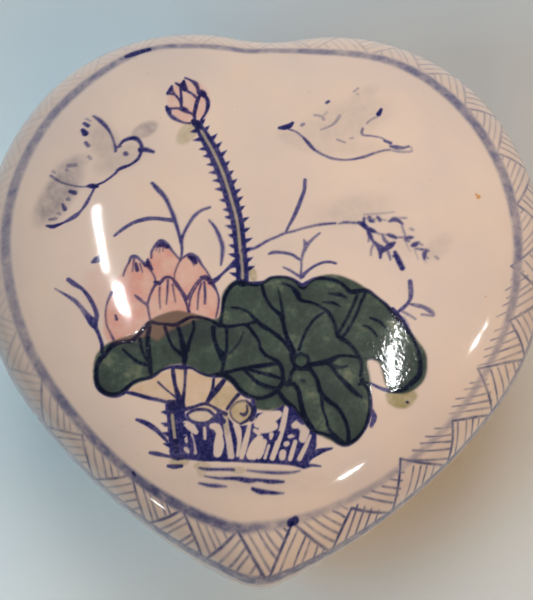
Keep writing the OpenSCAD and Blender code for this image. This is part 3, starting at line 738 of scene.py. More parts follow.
def paint_cobalt():
    """The cobalt drawing of the picture, on the lid's plan."""
    cobalt = Sheet(PLAN_LOW, PLAN_HIGH)
    cobalt.fill(read_points(REED_GROUND), 0.93)
    cobalt.soften(0.15)
    bare = Sheet(PLAN_LOW, PLAN_HIGH)
    bare.strokes(REED_BARE)
    cobalt.ink *= 1 - bare.ink
    for seed, text in enumerate((LONG_STEM, SHORT_STEM)):
        (ink, points), = read_strokes(text)
        line = smooth_line(points)
        cobalt.stroke(line, ink)
        thorns(cobalt, line, ink, seed)
        core = Sheet(PLAN_LOW, PLAN_HIGH)
        line[:, 2] = CORE_WIDTH
        core.stroke(line[6:-2], 0.75)
        cobalt.ink *= 1 - core.ink
    for text in (LEFT_BIRD, RIGHT_BIRD, BUD, GRASS, LOTUS, LEAF_LEFT, LEAF_RIGHT, WATER_PLANTS):
        cobalt.strokes(text, spread=INK_SPREAD)
    for text in (REED, RIPPLES):
        cobalt.strokes(text, edge=0.24, spread=INK_SPREAD)
    return cobalt


def paint_grey_wash():
    """Thin grey-blue washes: the birds' shaded feathers and the reed's reflection."""
    wash = Sheet(PLAN_LOW, PLAN_HIGH)
    wash.wash((-21.0, 27.0), (2.5, 1.4), 30, 0.42, edge=0.25)
    wash.wash((-35.4, 15.2), (6.0, 2.7), 60, 0.50, edge=0.7)
    wash.wash((-33.6, 20.2), (3.2, 1.6), 30, 0.34, edge=0.9)
    wash.wash((-27.8, 24.4), (4.6, 2.4), -62, 0.26, edge=0.9)
    wash.wash((-25.0, 21.6), (4.4, 2.2), 25, 0.24, edge=0.9)
    wash.wash((13.8, 29.2), (8.0, 3.6), 24, 0.17, edge=1.0)
    wash.wash((16.2, 33.4), (4.2, 1.6), 45, 0.15, edge=1.0)
    wash.wash((4.8, 25.6), (2.8, 1.4), -20, 0.14, edge=1.0)
    wash.wash((12.8, 24.4), (8.0, 1.6), 0, 0.12, edge=1.0)
    wash.wash((15.4, 12.8), (6.4, 2.6), 12, 0.16, edge=1.2)
    wash.wash((21.5, 8.6), (4.6, 3.2), -25, 0.08, edge=1.0)
    wash.wash((29.4, 6.6), (3.0, 1.6), 45, 0.15, edge=1.0)
    wash.wash((-1.0, -33.0), (11.0, 2.2), 0, 0.14, edge=1.2)
    wash.soften(0.35)
    return wash


def paint_enamel(*outlines, soften=0.22):
    """A coloured enamel laid inside one or more closed outlines."""
    enamel = Sheet(PLAN_LOW, PLAN_HIGH)
    for outline in outlines:
        enamel.fill(read_points(outline))
    enamel.soften(soften)
    return enamel


def paint_pink():
    pink = paint_enamel(PINK_PETALS, soften=0.5)
    pink.wash((-13.6, 32.6), (3.6, 4.4), 10, 0.62, edge=0.35)
    pink.wash((-27.2, -2.0), (2.8, 4.0), 20, 0.30, edge=0.8)
    return pink


def paint_olive():
    """Thin yellow-green stains where the enamels have run past their outlines."""
    olive = paint_enamel(OLIVE_SPILL, soften=0.35)
    olive.wash((-13.6, 26.4), (2.4, 1.5), 55, 0.55)
    olive.wash((-1.8, 1.0), (0.7, 1.3), 15, 0.75)
    olive.wash((-13.2, -30.3), (1.6, 0.8), 0, 0.6)
    olive.wash((-9.5, -31.0), (1.4, 0.7), 0, 0.45)
    olive.wash((-3.6, -31.6), (1.2, 0.6), 0, 0.4)
    olive.wash((6.4, -13.6), (1.1, 0.9), 0, 0.9)
    olive.wash((-5.9, -19.8), (2.3, 1.7), 25, 0.45, edge=0.4)
    olive.wash((-3.1, -22.2), (1.9, 1.9), 0, 0.55, edge=0.3)
    olive.wash((-5.7, -24.3), (1.8, 0.6), 97, 0.45, edge=0.5)
    olive.wash((-9.6, -22.9), (2.4, 1.3), 0, 0.28, edge=0.3)
    olive.wash((-9.5, -31.2), (0.9, 1.5), 0, 0.4, edge=0.6)
    for text in (LONG_STEM, SHORT_STEM):
        (_, points), = read_strokes(text)
        line = smooth_line(points)
        line[:, 2] = 0.9
        olive.stroke(line, 0.6)
    return olive


def paint_pool():
    """Places where the green enamel lies thicker and darker."""
    pool = Sheet(PLAN_LOW, PLAN_HIGH)
    pool.wash((-12.7, -8.2), (5.6, 2.6), -5, 0.7, edge=0.9)
    pool.wash((-3.6, -9.4), (2.4, 3.0), 20, 0.3, edge=0.9)
    pool.wash((22.7, -4.6), (1.8, 1.1), -50, 0.8, edge=0.7)
    pool.wash((11.4, -17.6), (1.6, 2.4), 15, 0.5, edge=0.9)
    return pool


# Specks of iron that came up through the glaze: x, y and radius.
RUST_SPECKS = ((36.8, 16.2, 0.34), (36.4, 16.6, 0.2), (37.6, -1.5, 0.13))


def paint_rust():
    rust = Sheet(PLAN_LOW, PLAN_HIGH)
    for x, y, radius in RUST_SPECKS:
        rust.wash((x, y), (radius * 1.3, radius), 40, 0.9, edge=0.6)
    return rust


# The woven border: triangles that stand on the band and hang from the rim by turns, each
# hatched with lines parallel to its left side. A tip is where two sides meet on the band.
BORDER_W = 5.85        # the border's width on the lid's plan
WEAVE_TIPS = (
    (5.5, -0.4), (15.5, 1.0), (26.5, -1.5), (37.5, 0.2), (47.5, -1.2), (57.5, 0.5), (67.3, -1.3),
    (78.5, 0.0), (88.5, -0.1), (98.5, 0.2), (108.5, 0.3), (118.5, 0.2), (128.5, -0.2), (138.5, 0.3),
    (148.5, 0.6), (158.5, 1.4), (168.5, 0.6), (178.5, 0.3), (188.5, 0.1), (198.5, 0.3), (208.5, 0.4),
    (218.5, 0.5), (228.3, 0.6), (240.0, 0.9), (250.6, 0.0), (260.5, 0.5), (270.0, 0.4),
)
WEAVE_LEAN = 0.53      # share of the way to the next tip at which two sides meet at the rim
WEAVE_LINES = 6
WEAVE_FAR = 5.5
LONG_LINES = (17, 66)  # between these places the hatching runs on across the band
RIM_LINE_OUT, RIM_LINE_W = 5.25, 0.75
BORDER_MARGIN = 24     # how far an unrolled sheet runs on past its two ends
SHEET_INNER, SHEET_OUTER = 5, 1     # and past the shoulder and the rim
WEAVE_SEED = 100


def border_out(share):
    """Millimetres out from the shoulder on the plan, at a share of the way out."""
    return (share - SHOULDER_SHARE) / (1 - SHOULDER_SHARE) * BORDER_W


def border_ink(along):
    """How much ink the border has at a place round from the heart's point, in millimetres."""
    places = [0, 25, 66, 90, 110, 135, 175, 205, 222, 235, 250, 273.5]
    inks = [0.72, 0.68, 0.50, 0.40, 0.22, 0.14, 0.08, 0.10, 0.18, 0.42, 0.56, 0.66]
    return np.interp(along % SHOULDER_LENGTH, places, inks)


def border_sheet():
    """A sheet for the border unrolled: millimetres round the shoulder, and out from it."""
    high = (SHOULDER_LENGTH + BORDER_MARGIN, BORDER_W + SHEET_OUTER)
    return Sheet((-BORDER_MARGIN, -SHEET_INNER), high)


def paint_band():
    """The line round the picture, which has bled into the glaze."""
    band = border_sheet()
    band.strokes(FIELD_BAND, edge=0.45)
    along = (band.low[0] + np.arange(band.size[0]) / CELLS) % SHOULDER_LENGTH
    band.ink *= np.interp(along, *zip(*BAND_FADE))
    return band


def paint_blots():
    """Where the brush stood still on that line."""
    blots = border_sheet()
    blots.strokes(BAND_BLOTS, edge=0.2)
    return blots


def hatch_line(sheet, start, end, widths, ink, bend):
    middle = ((start[0] + end[0]) / 2 + bend, (start[1] + end[1]) / 2, max(widths))
    line = [(*start, widths[0]), middle, (*end, widths[1])]
    sheet.stroke(smooth_line(line), ink, edge=0.2)


def paint_weave():
    """The hatched border: each triangle's lines, and the two sides that meet at the rim."""
    weave = border_sheet()
    tips = [(u - SHOULDER_LENGTH, v) for u, v in WEAVE_TIPS[-2:]] + list(WEAVE_TIPS)
    tips += [(u + SHOULDER_LENGTH, v) for u, v in WEAVE_TIPS[:3]]
    for index in range(len(tips) - 2):
        random = np.random.default_rng(WEAVE_SEED + (index - 2) % len(WEAVE_TIPS))
        (a, a_v), (b, b_v), (c, _) = tips[index:index + 3]
        apex, next_apex = a + WEAVE_LEAN * (b - a), b + WEAVE_LEAN * (c - b)
        ink = float(border_ink(np.array(apex)))
        far_on = LONG_LINES[0] < a % SHOULDER_LENGTH < LONG_LINES[1]
        for k in range(1, WEAVE_LINES):
            t = k / WEAVE_LINES + random.uniform(-0.03, 0.03)
            over = random.uniform(0.7, 1.7) if far_on else random.uniform(-0.5, 0.3)
            foot = a + t * (b - a)
            standing = (
                (foot - over * (apex - a) / WEAVE_FAR, -over),
                (foot + (1 - t) * (apex - a), (1 - t) * WEAVE_FAR),
                (0.24, 0.28),
            )
            hanging = (
                (apex + t * (next_apex - apex), WEAVE_FAR),
                (b + t * (next_apex - b), t * WEAVE_FAR),
                (0.28, 0.28),
            )
            for start, end, widths in (standing, hanging):
                strength = min(1, ink * random.uniform(0.75, 1.15))
                hatch_line(weave, start, end, widths, strength, random.uniform(-0.15, 0.15))
        far = (apex, WEAVE_FAR)
        for start, end, widths in (((a, a_v), far, (0.42, 0.34)), (far, (b, b_v), (0.34, 0.42))):
            hatch_line(weave, start, end, widths, min(1, ink * 1.15), random.uniform(-0.2, 0.2))
    return weave


# ---------------------------------------------------------------- meshes

CROWN_GRID = 500      # squares across the crown
BORDER_ROUND, BORDER_DOWN = 1500, 44
WALL_ROUND = 720
BELLY_DOWN = 62
ENAMEL_T = 0.004      # how far an enamel stands proud of the glaze
SEAM_SLACK = 1e-6
FLOOR_SHARES = np.linspace(0.95, 0.05, 19)     # rings that close a flat floor
PIECES = []


def make_piece(name, points, faces, material, body, node):
    """A smooth-shaded piece from points in millimetres, riding on a body for a CAD node."""
    mesh = bpy.data.meshes.new(name)
    mesh.from_pydata(points * MM, [], faces)
    mesh.polygons.foreach_set("use_smooth", np.ones(len(mesh.polygons), bool))
    mesh.materials.append(material)
    piece = bpy.data.objects.new(name, mesh)
    bpy.context.scene.collection.objects.link(piece)
    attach(piece, body)
    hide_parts(node)
    PIECES.append(piece)
    return piece


def add_paint(piece, name, *channels):
    """Stores up to three densities at every point, for the material to read."""
    attribute = piece.data.attributes.new(name, "FLOAT_COLOR", "POINT")
    values = np.ones((len(piece.data.vertices), 4))
    for index in range(3):
        values[:, index] = channels[index] if index < len(channels) else 0
    attribute.data.foreach_set("color", values.ravel())


def ring_faces(rings, around, flip=False):
    """Quads between rings of equal length, each closed on itself."""
    k, i = np.meshgrid(np.arange(rings - 1), np.arange(around), indexing="ij")
    j = (i + 1) % around
    quads = np.stack([k * around + i, k * around + j, (k + 1) * around + j, (k + 1) * around + i], -1)
    quads = quads.reshape(-1, 4)
    return quads[:, ::-1] if flip else quads


def grid_faces(count):
    """The squares of a grid with so many along each side."""
    row, column = np.meshgrid(np.arange(count), np.arange(count), indexing="ij")
    corner = (row * (count + 1) + column).ravel()
    return np.stack([corner, corner + 1, corner + count + 2, corner + count + 1], -1)


def profile_mesh(profile, angles, cap=None, flip=False):
    """Points and faces of a surface through rings of (radius at each angle, height).

    The rings' order runs so that faces look to its left when it is seen from outside, and
    cap closes the last ring at a point of that height on the axis.
    """
    points = [np.stack([r * np.cos(angles), r * np.sin(angles), np.full_like(angles, z)], -1)
              for r, z in profile]
    faces = ring_faces(len(profile), len(angles), flip=flip).tolist()
    points = np.vstack(points)
    if cap is not None:
        last = len(points) - len(angles)
        points = np.vstack([points, [0, 0, cap]])
        for i in range(len(angles)):
            j = (i + 1) % len(angles)
            corner = [last + i, last + j, len(points) - 1]
            faces.append(corner[::-1] if flip else corner)
    return points, faces


def lid_place(share, angles):
    """The point of the lid's glazed top at a share of the way out along a bearing."""
    radius = dome_radius(share, angles)
    return np.stack([radius * np.cos(angles), radius * np.sin(angles), dome_height(share, DOME_H)], -1)


def lid_normals(share, angles):
    """The lid's true normals, from short steps along and across."""
    inner = np.maximum(share - 1e-4, 0)
    outward = lid_place(np.minimum(share + 1e-4, 1), angles) - lid_place(inner, angles)
    onward = lid_place(share, angles + 1e-4) - lid_place(share, angles - 1e-4)
    normal = np.cross(outward, onward)
    return normal / np.linalg.norm(normal, axis=-1, keepdims=True)


def disc_grid(count):
    """Shares and bearings of a square grid drawn onto a disc, with rows of even squares."""
    side = np.linspace(-1, 1, count + 1)
    a, b = (grid.ravel() for grid in np.meshgrid(side, side))
    across = np.abs(a) > np.abs(b)
    share = np.where(across, a, b)
    ratio = np.where(across, b, a) / np.where(share == 0, 1, share)
    angles = np.where(across, math.pi / 4 * ratio, math.pi / 2 - math.pi / 4 * ratio)
    angles = np.where(share < 0, angles + math.pi, angles)
    return np.abs(share), angles


def paint_lid(piece, x, y, share, angles, drop=0):
    """Puts every sheet's densities on a piece of the lid's top."""
    along, _ = outline_length(SHOULDER, angles)
    out = border_out(share) + drop
    blue = np.maximum(SHEETS["cobalt"].at(x, y), SHEETS["blots"].at(along, out))
    rim_line = ease((RIM_LINE_W / 2 - np.abs(out - RIM_LINE_OUT)) / 0.3 + 0.5)
    rim_line *= 0.9 * border_ink(along)
    weave = SHEETS["weave"].at(along, out) * ease((RIM_LINE_OUT + 0.4 - out) / 0.3)
    band = np.maximum(SHEETS["band"].at(along, out), np.maximum(weave, rim_line))
    add_paint(piece, "cobalt", blue, band, SHEETS["wash"].at(x, y))
    add_paint(piece, "enamel", *(SHEETS[name].at(x, y) for name in ("green", "pink", "ochre")))
    add_paint(piece, "stain", *(SHEETS[name].at(x, y) for name in ("olive", "rust", "pool")))


def smooth_seam(piece, share, angles, seam):
    """Gives the points where crown and border meet the lid's true normals."""
    normals = np.empty(len(piece.data.vertices) * 3)
    piece.data.vertices.foreach_get("normal", normals)
    normals = normals.reshape(-1, 3)
    normals[seam] = lid_normals(share[seam], angles[seam])
    piece.data.normals_split_custom_set_from_vertices(normals)


def make_lid_crown(material):
    share, angles = disc_grid(CROWN_GRID)
    share = share * CROWN_SHARE
    points = lid_place(share, angles)
    x, y = points[:, 0], points[:, 1]
    body = SHEETS["body"].at(x, y)
    points[:, 2] += ENAMEL_T * body
    faces = grid_faces(CROWN_GRID)
    piece = make_piece("lid_crown", points, faces, material, "lid", "lid")
    paint_lid(piece, x, y, share, angles)
    smooth_seam(piece, share, angles, share > CROWN_SHARE - SEAM_SLACK)


def make_lid_border(material):
    """The border, the upright edge under it and the rounding down to the seat."""
    angles = even_bearings(BORDER_ROUND)
    height = SHARE_ARCS[-1]
    first = np.interp(CROWN_SHARE, SHARES, SHARE_ARCS)
    outs = np.linspace(first, height, BORDER_DOWN)
    shares = np.interp(outs, SHARE_ARCS, SHARES)
    profile = [(dome_radius(share, angles), dome_height(share, DOME_H)) for share in shares]
    drops = np.zeros(BORDER_DOWN)
    edge = LEDGE_Z + EDGE_R
    for z in np.linspace(LEDGE_Z + LID_EDGE_H, edge, 7)[1:]:
        profile.append((inset_radius(angles, 0), z))
        shares, drops = np.append(shares, 1), np.append(drops, LEDGE_Z + LID_EDGE_H - z)
    for turn in np.linspace(0, math.pi / 2, 6)[1:]:
        inset = EDGE_R * (1 - math.cos(turn))
        profile.append((inset_radius(angles, inset), edge - EDGE_R * math.sin(turn)))
        shares, drops = np.append(shares, 1), np.append(drops, LID_EDGE_H + inset)
    points, faces = profile_mesh(profile, angles, flip=True)
    piece = make_piece("lid_border", points, faces, material, "lid", "lid")
    share, drop = np.repeat(shares, BORDER_ROUND), np.repeat(drops, BORDER_ROUND)
    turned = np.tile(angles, len(profile))
    paint_lid(piece, points[:, 0], points[:, 1], share, turned, drop)
    smooth_seam(piece, share, turned, share < CROWN_SHARE + SEAM_SLACK)


def make_lid_underside(material):
    """The unglazed seat, the wall inside it and the hollow of the dome."""
    angles = even_bearings(WALL_ROUND)
    rise = DOME_H - LID_CROWN_T
    profile = [
        (inset_radius(angles, EDGE_R), LEDGE_Z),
        (inset_radius(angles, LID_WALL - EDGE_R / 2), LEDGE_Z),
        (inset_radius(angles, LID_WALL - EDGE_R / 8), LEDGE_Z + EDGE_R / 4),
        (inset_radius(angles, LID_WALL), LEDGE_Z + EDGE_R),
    ]
    for turn in np.linspace(math.pi / 2, 0, 40)[:-1]:
        share = math.sin(turn)
        profile.append((dome_radius(share, angles, LID_WALL), dome_height(share, rise)))
    points, faces = profile_mesh(profile, angles, cap=dome_height(0, rise), flip=True)
    piece = make_piece("lid_underside", points, faces, material, "lid", "lid")
    seat = points[:, 2] < LEDGE_Z + EDGE_R / 2
    add_paint(piece, "bare", seat.astype(float))


def make_base_wall(material):
    """The belly, from the foot's shoulder up to the ledge that the lid sits on."""
    angles = even_bearings(WALL_ROUND * 2)
    waist = FOOT_INSET - BELLY_WAIST
    top = LEDGE_Z - BELLY_TOP_DROP
    bend = math.radians(BELLY_END)
    profile = [(inset_radius(angles, GALLERY_OUT), LEDGE_Z), (inset_radius(angles, EDGE_R), LEDGE_Z)]
    for turn in np.linspace(math.pi / 2, 0, 7)[1:]:
        inset = EDGE_R * (1 - math.cos(turn))
        profile.append((inset_radius(angles, inset), LEDGE_Z - EDGE_R * (1 - math.sin(turn))))
    for turn in np.linspace(0, bend, BELLY_DOWN):
        inset = waist * (1 - math.cos(turn)) / (1 - math.cos(bend))
        drop = (top - FOOT_H) * math.sin(turn) / math.sin(bend)
        profile.append((inset_radius(angles, inset), top - drop))
    points, faces = profile_mesh(profile, angles, flip=True)
    piece = make_piece("base_wall", points, faces, material, "base", "base")
    along, length = outline_length(RIM, np.tile(angles, len(profile)))
    blue, lines = SHEETS["frieze"].at(along, points[:, 2]), np.zeros(len(points))
    for height, width in FRIEZE_LINES:
        lines = np.maximum(lines, ease((width / 2 - np.abs(points[:, 2] - height)) / 0.4 + 0.5))
    add_paint(piece, "cobalt", blue, 0.6 * lines, np.zeros(len(points)))
    add_paint(piece, "bare", (points[:, 2] > LEDGE_Z - EDGE_R / 3).astype(float))


def make_base_foot(material):
    """The foot ring's outside, its ground face and the recess inside it."""
    angles = even_bearings(WALL_ROUND)
    profile = [
        (inset_radius(angles, FOOT_INSET - BELLY_WAIST), FOOT_H),
        (inset_radius(angles, FOOT_INSET - BELLY_WAIST * 0.8), FOOT_H * 0.82),
        (inset_radius(angles, FOOT_INSET - BELLY_WAIST / 2), FOOT_H / 2),
        (inset_radius(angles, FOOT_INSET - BELLY_WAIST * 0.1), FOOT_H * 0.1),
        (inset_radius(angles, FOOT_INSET), 0),
        (inset_radius(angles, FOOT_INSET + FOOT_W), 0),
        (inset_radius(angles, FOOT_INSET + FOOT_W + 0.6), RECESS_H * 0.55),
        (inset_radius(angles, FOOT_INSET + FOOT_W + 1.2), RECESS_H),
    ]
    for share in FLOOR_SHARES:
        profile.append((share * inset_radius(angles, FOOT_INSET + FOOT_W + 1.2), RECESS_H))
    points, faces = profile_mesh(profile, angles, cap=RECESS_H, flip=True)
    piece = make_piece("base_foot", points, faces, material, "base", "base")
    bare = (points[:, 2] < FOOT_H / 3) * ease((FOOT_H / 3 - points[:, 2]) / 0.4)
    add_paint(piece, "bare", bare)


def make_base_inside(material):
    """The gallery that keeps the lid in place, and the hollow of the box."""
    angles = even_bearings(WALL_ROUND)
    edge = GALLERY_TOP_Z - EDGE_R
    profile = [(inset_radius(angles, GALLERY_OUT), LEDGE_Z)]
    for turn in np.linspace(0, math.pi / 2, 6):
        inset = GALLERY_OUT + EDGE_R * (1 - math.cos(turn))
        profile.append((inset_radius(angles, inset), edge + EDGE_R * math.sin(turn)))
    for turn in np.linspace(math.pi / 2, math.pi, 6):
        inset = GALLERY_IN - EDGE_R * (1 + math.cos(turn))
        profile.append((inset_radius(angles, inset), edge + EDGE_R * math.sin(turn)))
    for turn in np.linspace(0, math.pi / 2, 16):
        inset = GALLERY_IN + HOLLOW_R * (1 - math.cos(turn))
        profile.append((inset_radius(angles, inset), FLOOR_Z + HOLLOW_RISE * (1 - math.sin(turn))))
    for share in FLOOR_SHARES:
        profile.append((share * inset_radius(angles, GALLERY_IN + HOLLOW_R), FLOOR_Z))
    points, faces = profile_mesh(profile, angles, cap=FLOOR_Z)
    piece = make_piece("base_inside", points, faces, material, "base", "base")
    add_paint(piece, "bare", np.zeros(len(points)))


# ---------------------------------------------------------------- materials


def srgb(red, green, blue):
    """A screen colour from 0 to 255 as the linear colour that a shader takes."""
    shares = np.array([red, green, blue]) / 255
    linear = np.where(shares <= 0.04045, shares / 12.92, ((shares + 0.055) / 1.055) ** 2.4)
    return (*linear.tolist(), 1)


def new_material(name):
    material = bpy.data.materials.new(name)
    material.use_nodes = True
    return material, material.node_tree, material.node_tree.nodes["Principled BSDF"]


def plug(tree, socket, value):
    if isinstance(value, bpy.types.NodeSocket):
        tree.links.new(value, socket)
    else:
        socket.default_value = value


def calc(tree, operation, *values, clamp=False):
    made = tree.nodes.new("ShaderNodeMath")
    made.operation = operation
    made.use_clamp = clamp
    for socket, value in zip(made.inputs, values):
        plug(tree, socket, value)
    return made.outputs[0]


def mix(tree, factor, below, above, blend="MIX"):
    made = tree.nodes.new("ShaderNodeMix")
    made.data_type = "RGBA"
    made.blend_type = blend
    for socket, value in zip((made.inputs[0], made.inputs[6], made.inputs[7]), (factor, below, above)):
        plug(tree, socket, value)
    return made.outputs[2]


def noise(tree, place, size_mm, detail=2.0, rough=0.5):
    """Noise from 0 to 1 whose marks are about size_mm across."""
    made = tree.nodes.new("ShaderNodeTexNoise")
    plug(tree, made.inputs["Vector"], place)
    made.inputs["Scale"].default_value = 1 / (size_mm * MM)
    made.inputs["Detail"].default_value = detail
    made.inputs["Roughness"].default_value = rough
    return made.outputs["Fac"]


def span(tree, value, low, high, to_low=0.0, to_high=1.0):
    """Carries low..high to to_low..to_high, and holds it there."""
    made = tree.nodes.new("ShaderNodeMapRange")
    plug(tree, made.inputs["Value"], value)
    for name, number in (("From Min", low), ("From Max", high), ("To Min", to_low), ("To Max", to_high)):
        made.inputs[name].default_value = number
    return made.outputs[0]


def ramp(tree, value, stops):
    made = tree.nodes.new("ShaderNodeValToRGB")
    plug(tree, made.inputs[0], value)
    elements = made.color_ramp.elements
    while len(elements) < len(stops):
        elements.new(1)
    for element, (position, colour) in zip(elements, stops):
        element.position = position
        element.color = colour
    return made.outputs[0]


def densities(tree, name):
    """The three densities that a piece's points hold under a name."""
    made = tree.nodes.new("ShaderNodeAttribute")
    made.attribute_name = name
    split = tree.nodes.new("ShaderNodeSeparateColor")
    tree.links.new(made.outputs["Color"], split.inputs[0])
    return split.outputs


def object_place(tree):
    return tree.nodes.new("ShaderNodeTexCoord").outputs["Object"]


def add_bumps(tree, shader, *bumps):
    """Chains bumps, each a height from 0 to 1 and how many millimetres that is."""
    before = None
    for height, depth_mm in bumps:
        made = tree.nodes.new("ShaderNodeBump")
        made.inputs["Strength"].default_value = 1
        made.inputs["Distance"].default_value = depth_mm * MM
        plug(tree, made.inputs["Height"], height)
        if before is not None:
            tree.links.new(before, made.inputs["Normal"])
        before = made.outputs[0]
    tree.links.new(before, shader.inputs["Normal"])


PORCELAIN = srgb(222, 205, 194)
PORCELAIN_COOL = srgb(213, 198, 191)
PORCELAIN_WARM = srgb(226, 204, 186)
IRON_SPECK = srgb(120, 96, 74)
BISCUIT = srgb(222, 204, 184)
BISCUIT_SHADE = srgb(198, 178, 156)
FLOOR_COLOUR = srgb(206, 214, 217)
FLOOR_SHADE = srgb(198, 208, 213)
WHITE = (1, 1, 1, 1)
COBALT_RAMP = (
    (0.0, WHITE),
    (0.30, srgb(196, 200, 222)),
    (0.60, srgb(112, 116, 182)),
    (0.85, srgb(57, 63, 142)),
    (1.0, srgb(36, 45, 114)),
)
BAND_RAMP = (
    (0.0, WHITE),
    (0.30, srgb(204, 209, 226)),
    (0.60, srgb(138, 149, 192)),
    (1.0, srgb(68, 80, 146)),
)
WASH_RAMP = (
    (0.0, WHITE),
    (1.0, srgb(112, 124, 154)),
)
RUST = srgb(194, 138, 66)
PINK = srgb(212, 160, 150)
OCHRE = srgb(206, 182, 156)
OLIVE = srgb(146, 140, 96)
OVER_PINK = srgb(128, 104, 94)
ENAMEL_RIM = srgb(30, 40, 44)
DEEP_GREEN = srgb(34, 48, 56)
GREEN_RAMP = (
    (0.0, srgb(36, 52, 54)),
    (0.40, srgb(48, 68, 65)),
    (0.62, srgb(62, 83, 76)),
    (1.0, srgb(108, 118, 100)),
)
ENAMEL_VEIL = 0.2      # how much of the blue the green enamel hides


def porcelain_ground(tree, place):
    """White porcelain under clear glaze: soft cloudiness and a few iron specks."""
    cloud = noise(tree, place, 22, 3)
    colour = mix(tree, span(tree, cloud, 0.38, 0.62), PORCELAIN_COOL, PORCELAIN)
    warmth = noise(tree, place, 9, 2)
    colour = mix(tree, span(tree, warmth, 0.5, 0.75, 0, 0.35), colour, PORCELAIN_WARM)
    speck = noise(tree, place, 0.55, 1)
    return mix(tree, span(tree, speck, 0.80, 0.84, 0, 0.8), colour, IRON_SPECK)


def laid_blue(tree, place, colour, blue, band, wash):
    """Cobalt drawing, bled lines and grey washes, which darken what is under them."""
    grain = span(tree, noise(tree, place, 0.55, 3, 0.6), 0.3, 0.7, 0.78, 1.12)
    pool = span(tree, noise(tree, place, 3.5, 2), 0.35, 0.65, 0.85, 1.08)
    blue = calc(tree, "MULTIPLY", blue, calc(tree, "MULTIPLY", grain, pool), clamp=True)
    streak = span(tree, noise(tree, place, 2.2, 3, 0.6), 0.3, 0.7, 0.6, 1.3)
    band = calc(tree, "MULTIPLY", band, streak, clamp=True)
    cloud = span(tree, noise(tree, place, 1.6, 3, 0.6), 0.3, 0.7, 0.65, 1.25)
    wash = calc(tree, "MULTIPLY", wash, cloud, clamp=True)
    colour = mix(tree, 1.0, colour, ramp(tree, wash, WASH_RAMP), "MULTIPLY")
    colour = mix(tree, 1.0, colour, ramp(tree, band, BAND_RAMP), "MULTIPLY")
    return mix(tree, 1.0, colour, ramp(tree, blue, COBALT_RAMP), "MULTIPLY")


def finish_glaze(shader):
    shader.inputs["IOR"].default_value = 1.5
    shader.inputs["Coat Weight"].default_value = 0.35
    shader.inputs["Coat Roughness"].default_value = 0.03


def painted_glaze():
    """The lid's top: porcelain, enamels and the cobalt drawing under one clear glaze."""
    material, tree, shader = new_material("painted_glaze")
    place = object_place(tree)
    colour = porcelain_ground(tree, place)
    green, pink, ochre = densities(tree, "enamel")
    olive, rust, pool = densities(tree, "stain")

    blush = span(tree, noise(tree, place, 2.6, 2), 0.35, 0.65, 0.55, 1.0)
    colour = mix(tree, calc(tree, "MULTIPLY", pink, blush), colour, PINK)
    straw = span(tree, noise(tree, place, 2.0, 2), 0.35, 0.65, 0.6, 1.0)
    colour = mix(tree, calc(tree, "MULTIPLY", ochre, straw), colour, OCHRE)
    moss = span(tree, noise(tree, place, 1.2, 2), 0.35, 0.65, 0.65, 0.95)
    colour = mix(tree, calc(tree, "MULTIPLY", olive, moss), colour, OLIVE)
    depth = noise(tree, place, 4.5, 3, 0.55)
    mottle = noise(tree, place, 0.9, 2)
    depth = calc(tree, "ADD", depth, span(tree, mottle, 0.3, 0.7, -0.08, 0.08))
    leaf = ramp(tree, span(tree, depth, 0.25, 0.8), GREEN_RAMP)
    leaf = mix(tree, pool, leaf, DEEP_GREEN)
    over_pink = calc(tree, "MULTIPLY", pink, 0.8)
    leaf = mix(tree, over_pink, leaf, OVER_PINK)
    rim = calc(tree, "MULTIPLY", green, calc(tree, "SUBTRACT", 1.0, green))
    leaf = mix(tree, calc(tree, "MULTIPLY", rim, 1.4, clamp=True), leaf, ENAMEL_RIM)
    colour = mix(tree, calc(tree, "MULTIPLY", green, 0.97), colour, leaf)

    colour = mix(tree, rust, colour, RUST)
    blue, band, wash = densities(tree, "cobalt")
    veil = calc(tree, "SUBTRACT", 1.0, calc(tree, "MULTIPLY", green, ENAMEL_VEIL))
    blue = calc(tree, "MULTIPLY", blue, veil)
    colour = laid_blue(tree, place, colour, blue, band, wash)
    tree.links.new(colour, shader.inputs["Base Color"])
    pits = noise(tree, place, 0.8, 1)
    raised = calc(tree, "ADD", calc(tree, "MULTIPLY", green, 0.01), 0.07)
    plug(tree, shader.inputs["Roughness"], raised)
    pitted = calc(tree, "MULTIPLY", span(tree, pits, 0.35, 0.65), green)
    add_bumps(tree, shader, (noise(tree, place, 6, 1), 0.02), (pitted, 0.008))
    finish_glaze(shader)
    return material


def plain_glaze(name, painted):
    """Glazed porcelain with bare biscuit wherever the piece is marked bare."""
    material, tree, shader = new_material(name)
    place = object_place(tree)
    colour = porcelain_ground(tree, place)
    if painted:
        colour = laid_blue(tree, place, colour, *densities(tree, "cobalt"))
    bare = densities(tree, "bare")[0]
    chalk = mix(tree, span(tree, noise(tree, place, 0.6, 3), 0.3, 0.7), BISCUIT, BISCUIT_SHADE)
    colour = mix(tree, bare, colour, chalk)
    tree.links.new(colour, shader.inputs["Base Color"])
    plug(tree, shader.inputs["Roughness"], span(tree, bare, 0, 1, 0.09, 0.8))
    grit = calc(tree, "MULTIPLY", noise(tree, place, 0.3, 2), bare)
    add_bumps(tree, shader, (noise(tree, place, 6, 1), 0.02), (grit, 0.05))
    finish_glaze(shader)
    return material


def floor_material():
    """A pale, matt table top whose tone drifts a little."""
    material, tree, shader = new_material("pale_table")
    place = object_place(tree)
    tone = noise(tree, place, 60, 3)
    colour = mix(tree, span(tree, tone, 0.35, 0.65), FLOOR_SHADE, FLOOR_COLOUR)
    tree.links.new(colour, shader.inputs["Base Color"])
    shader.inputs["Roughness"].default_value = 0.6
    return material


# ---------------------------------------------------------------- the frieze round the base

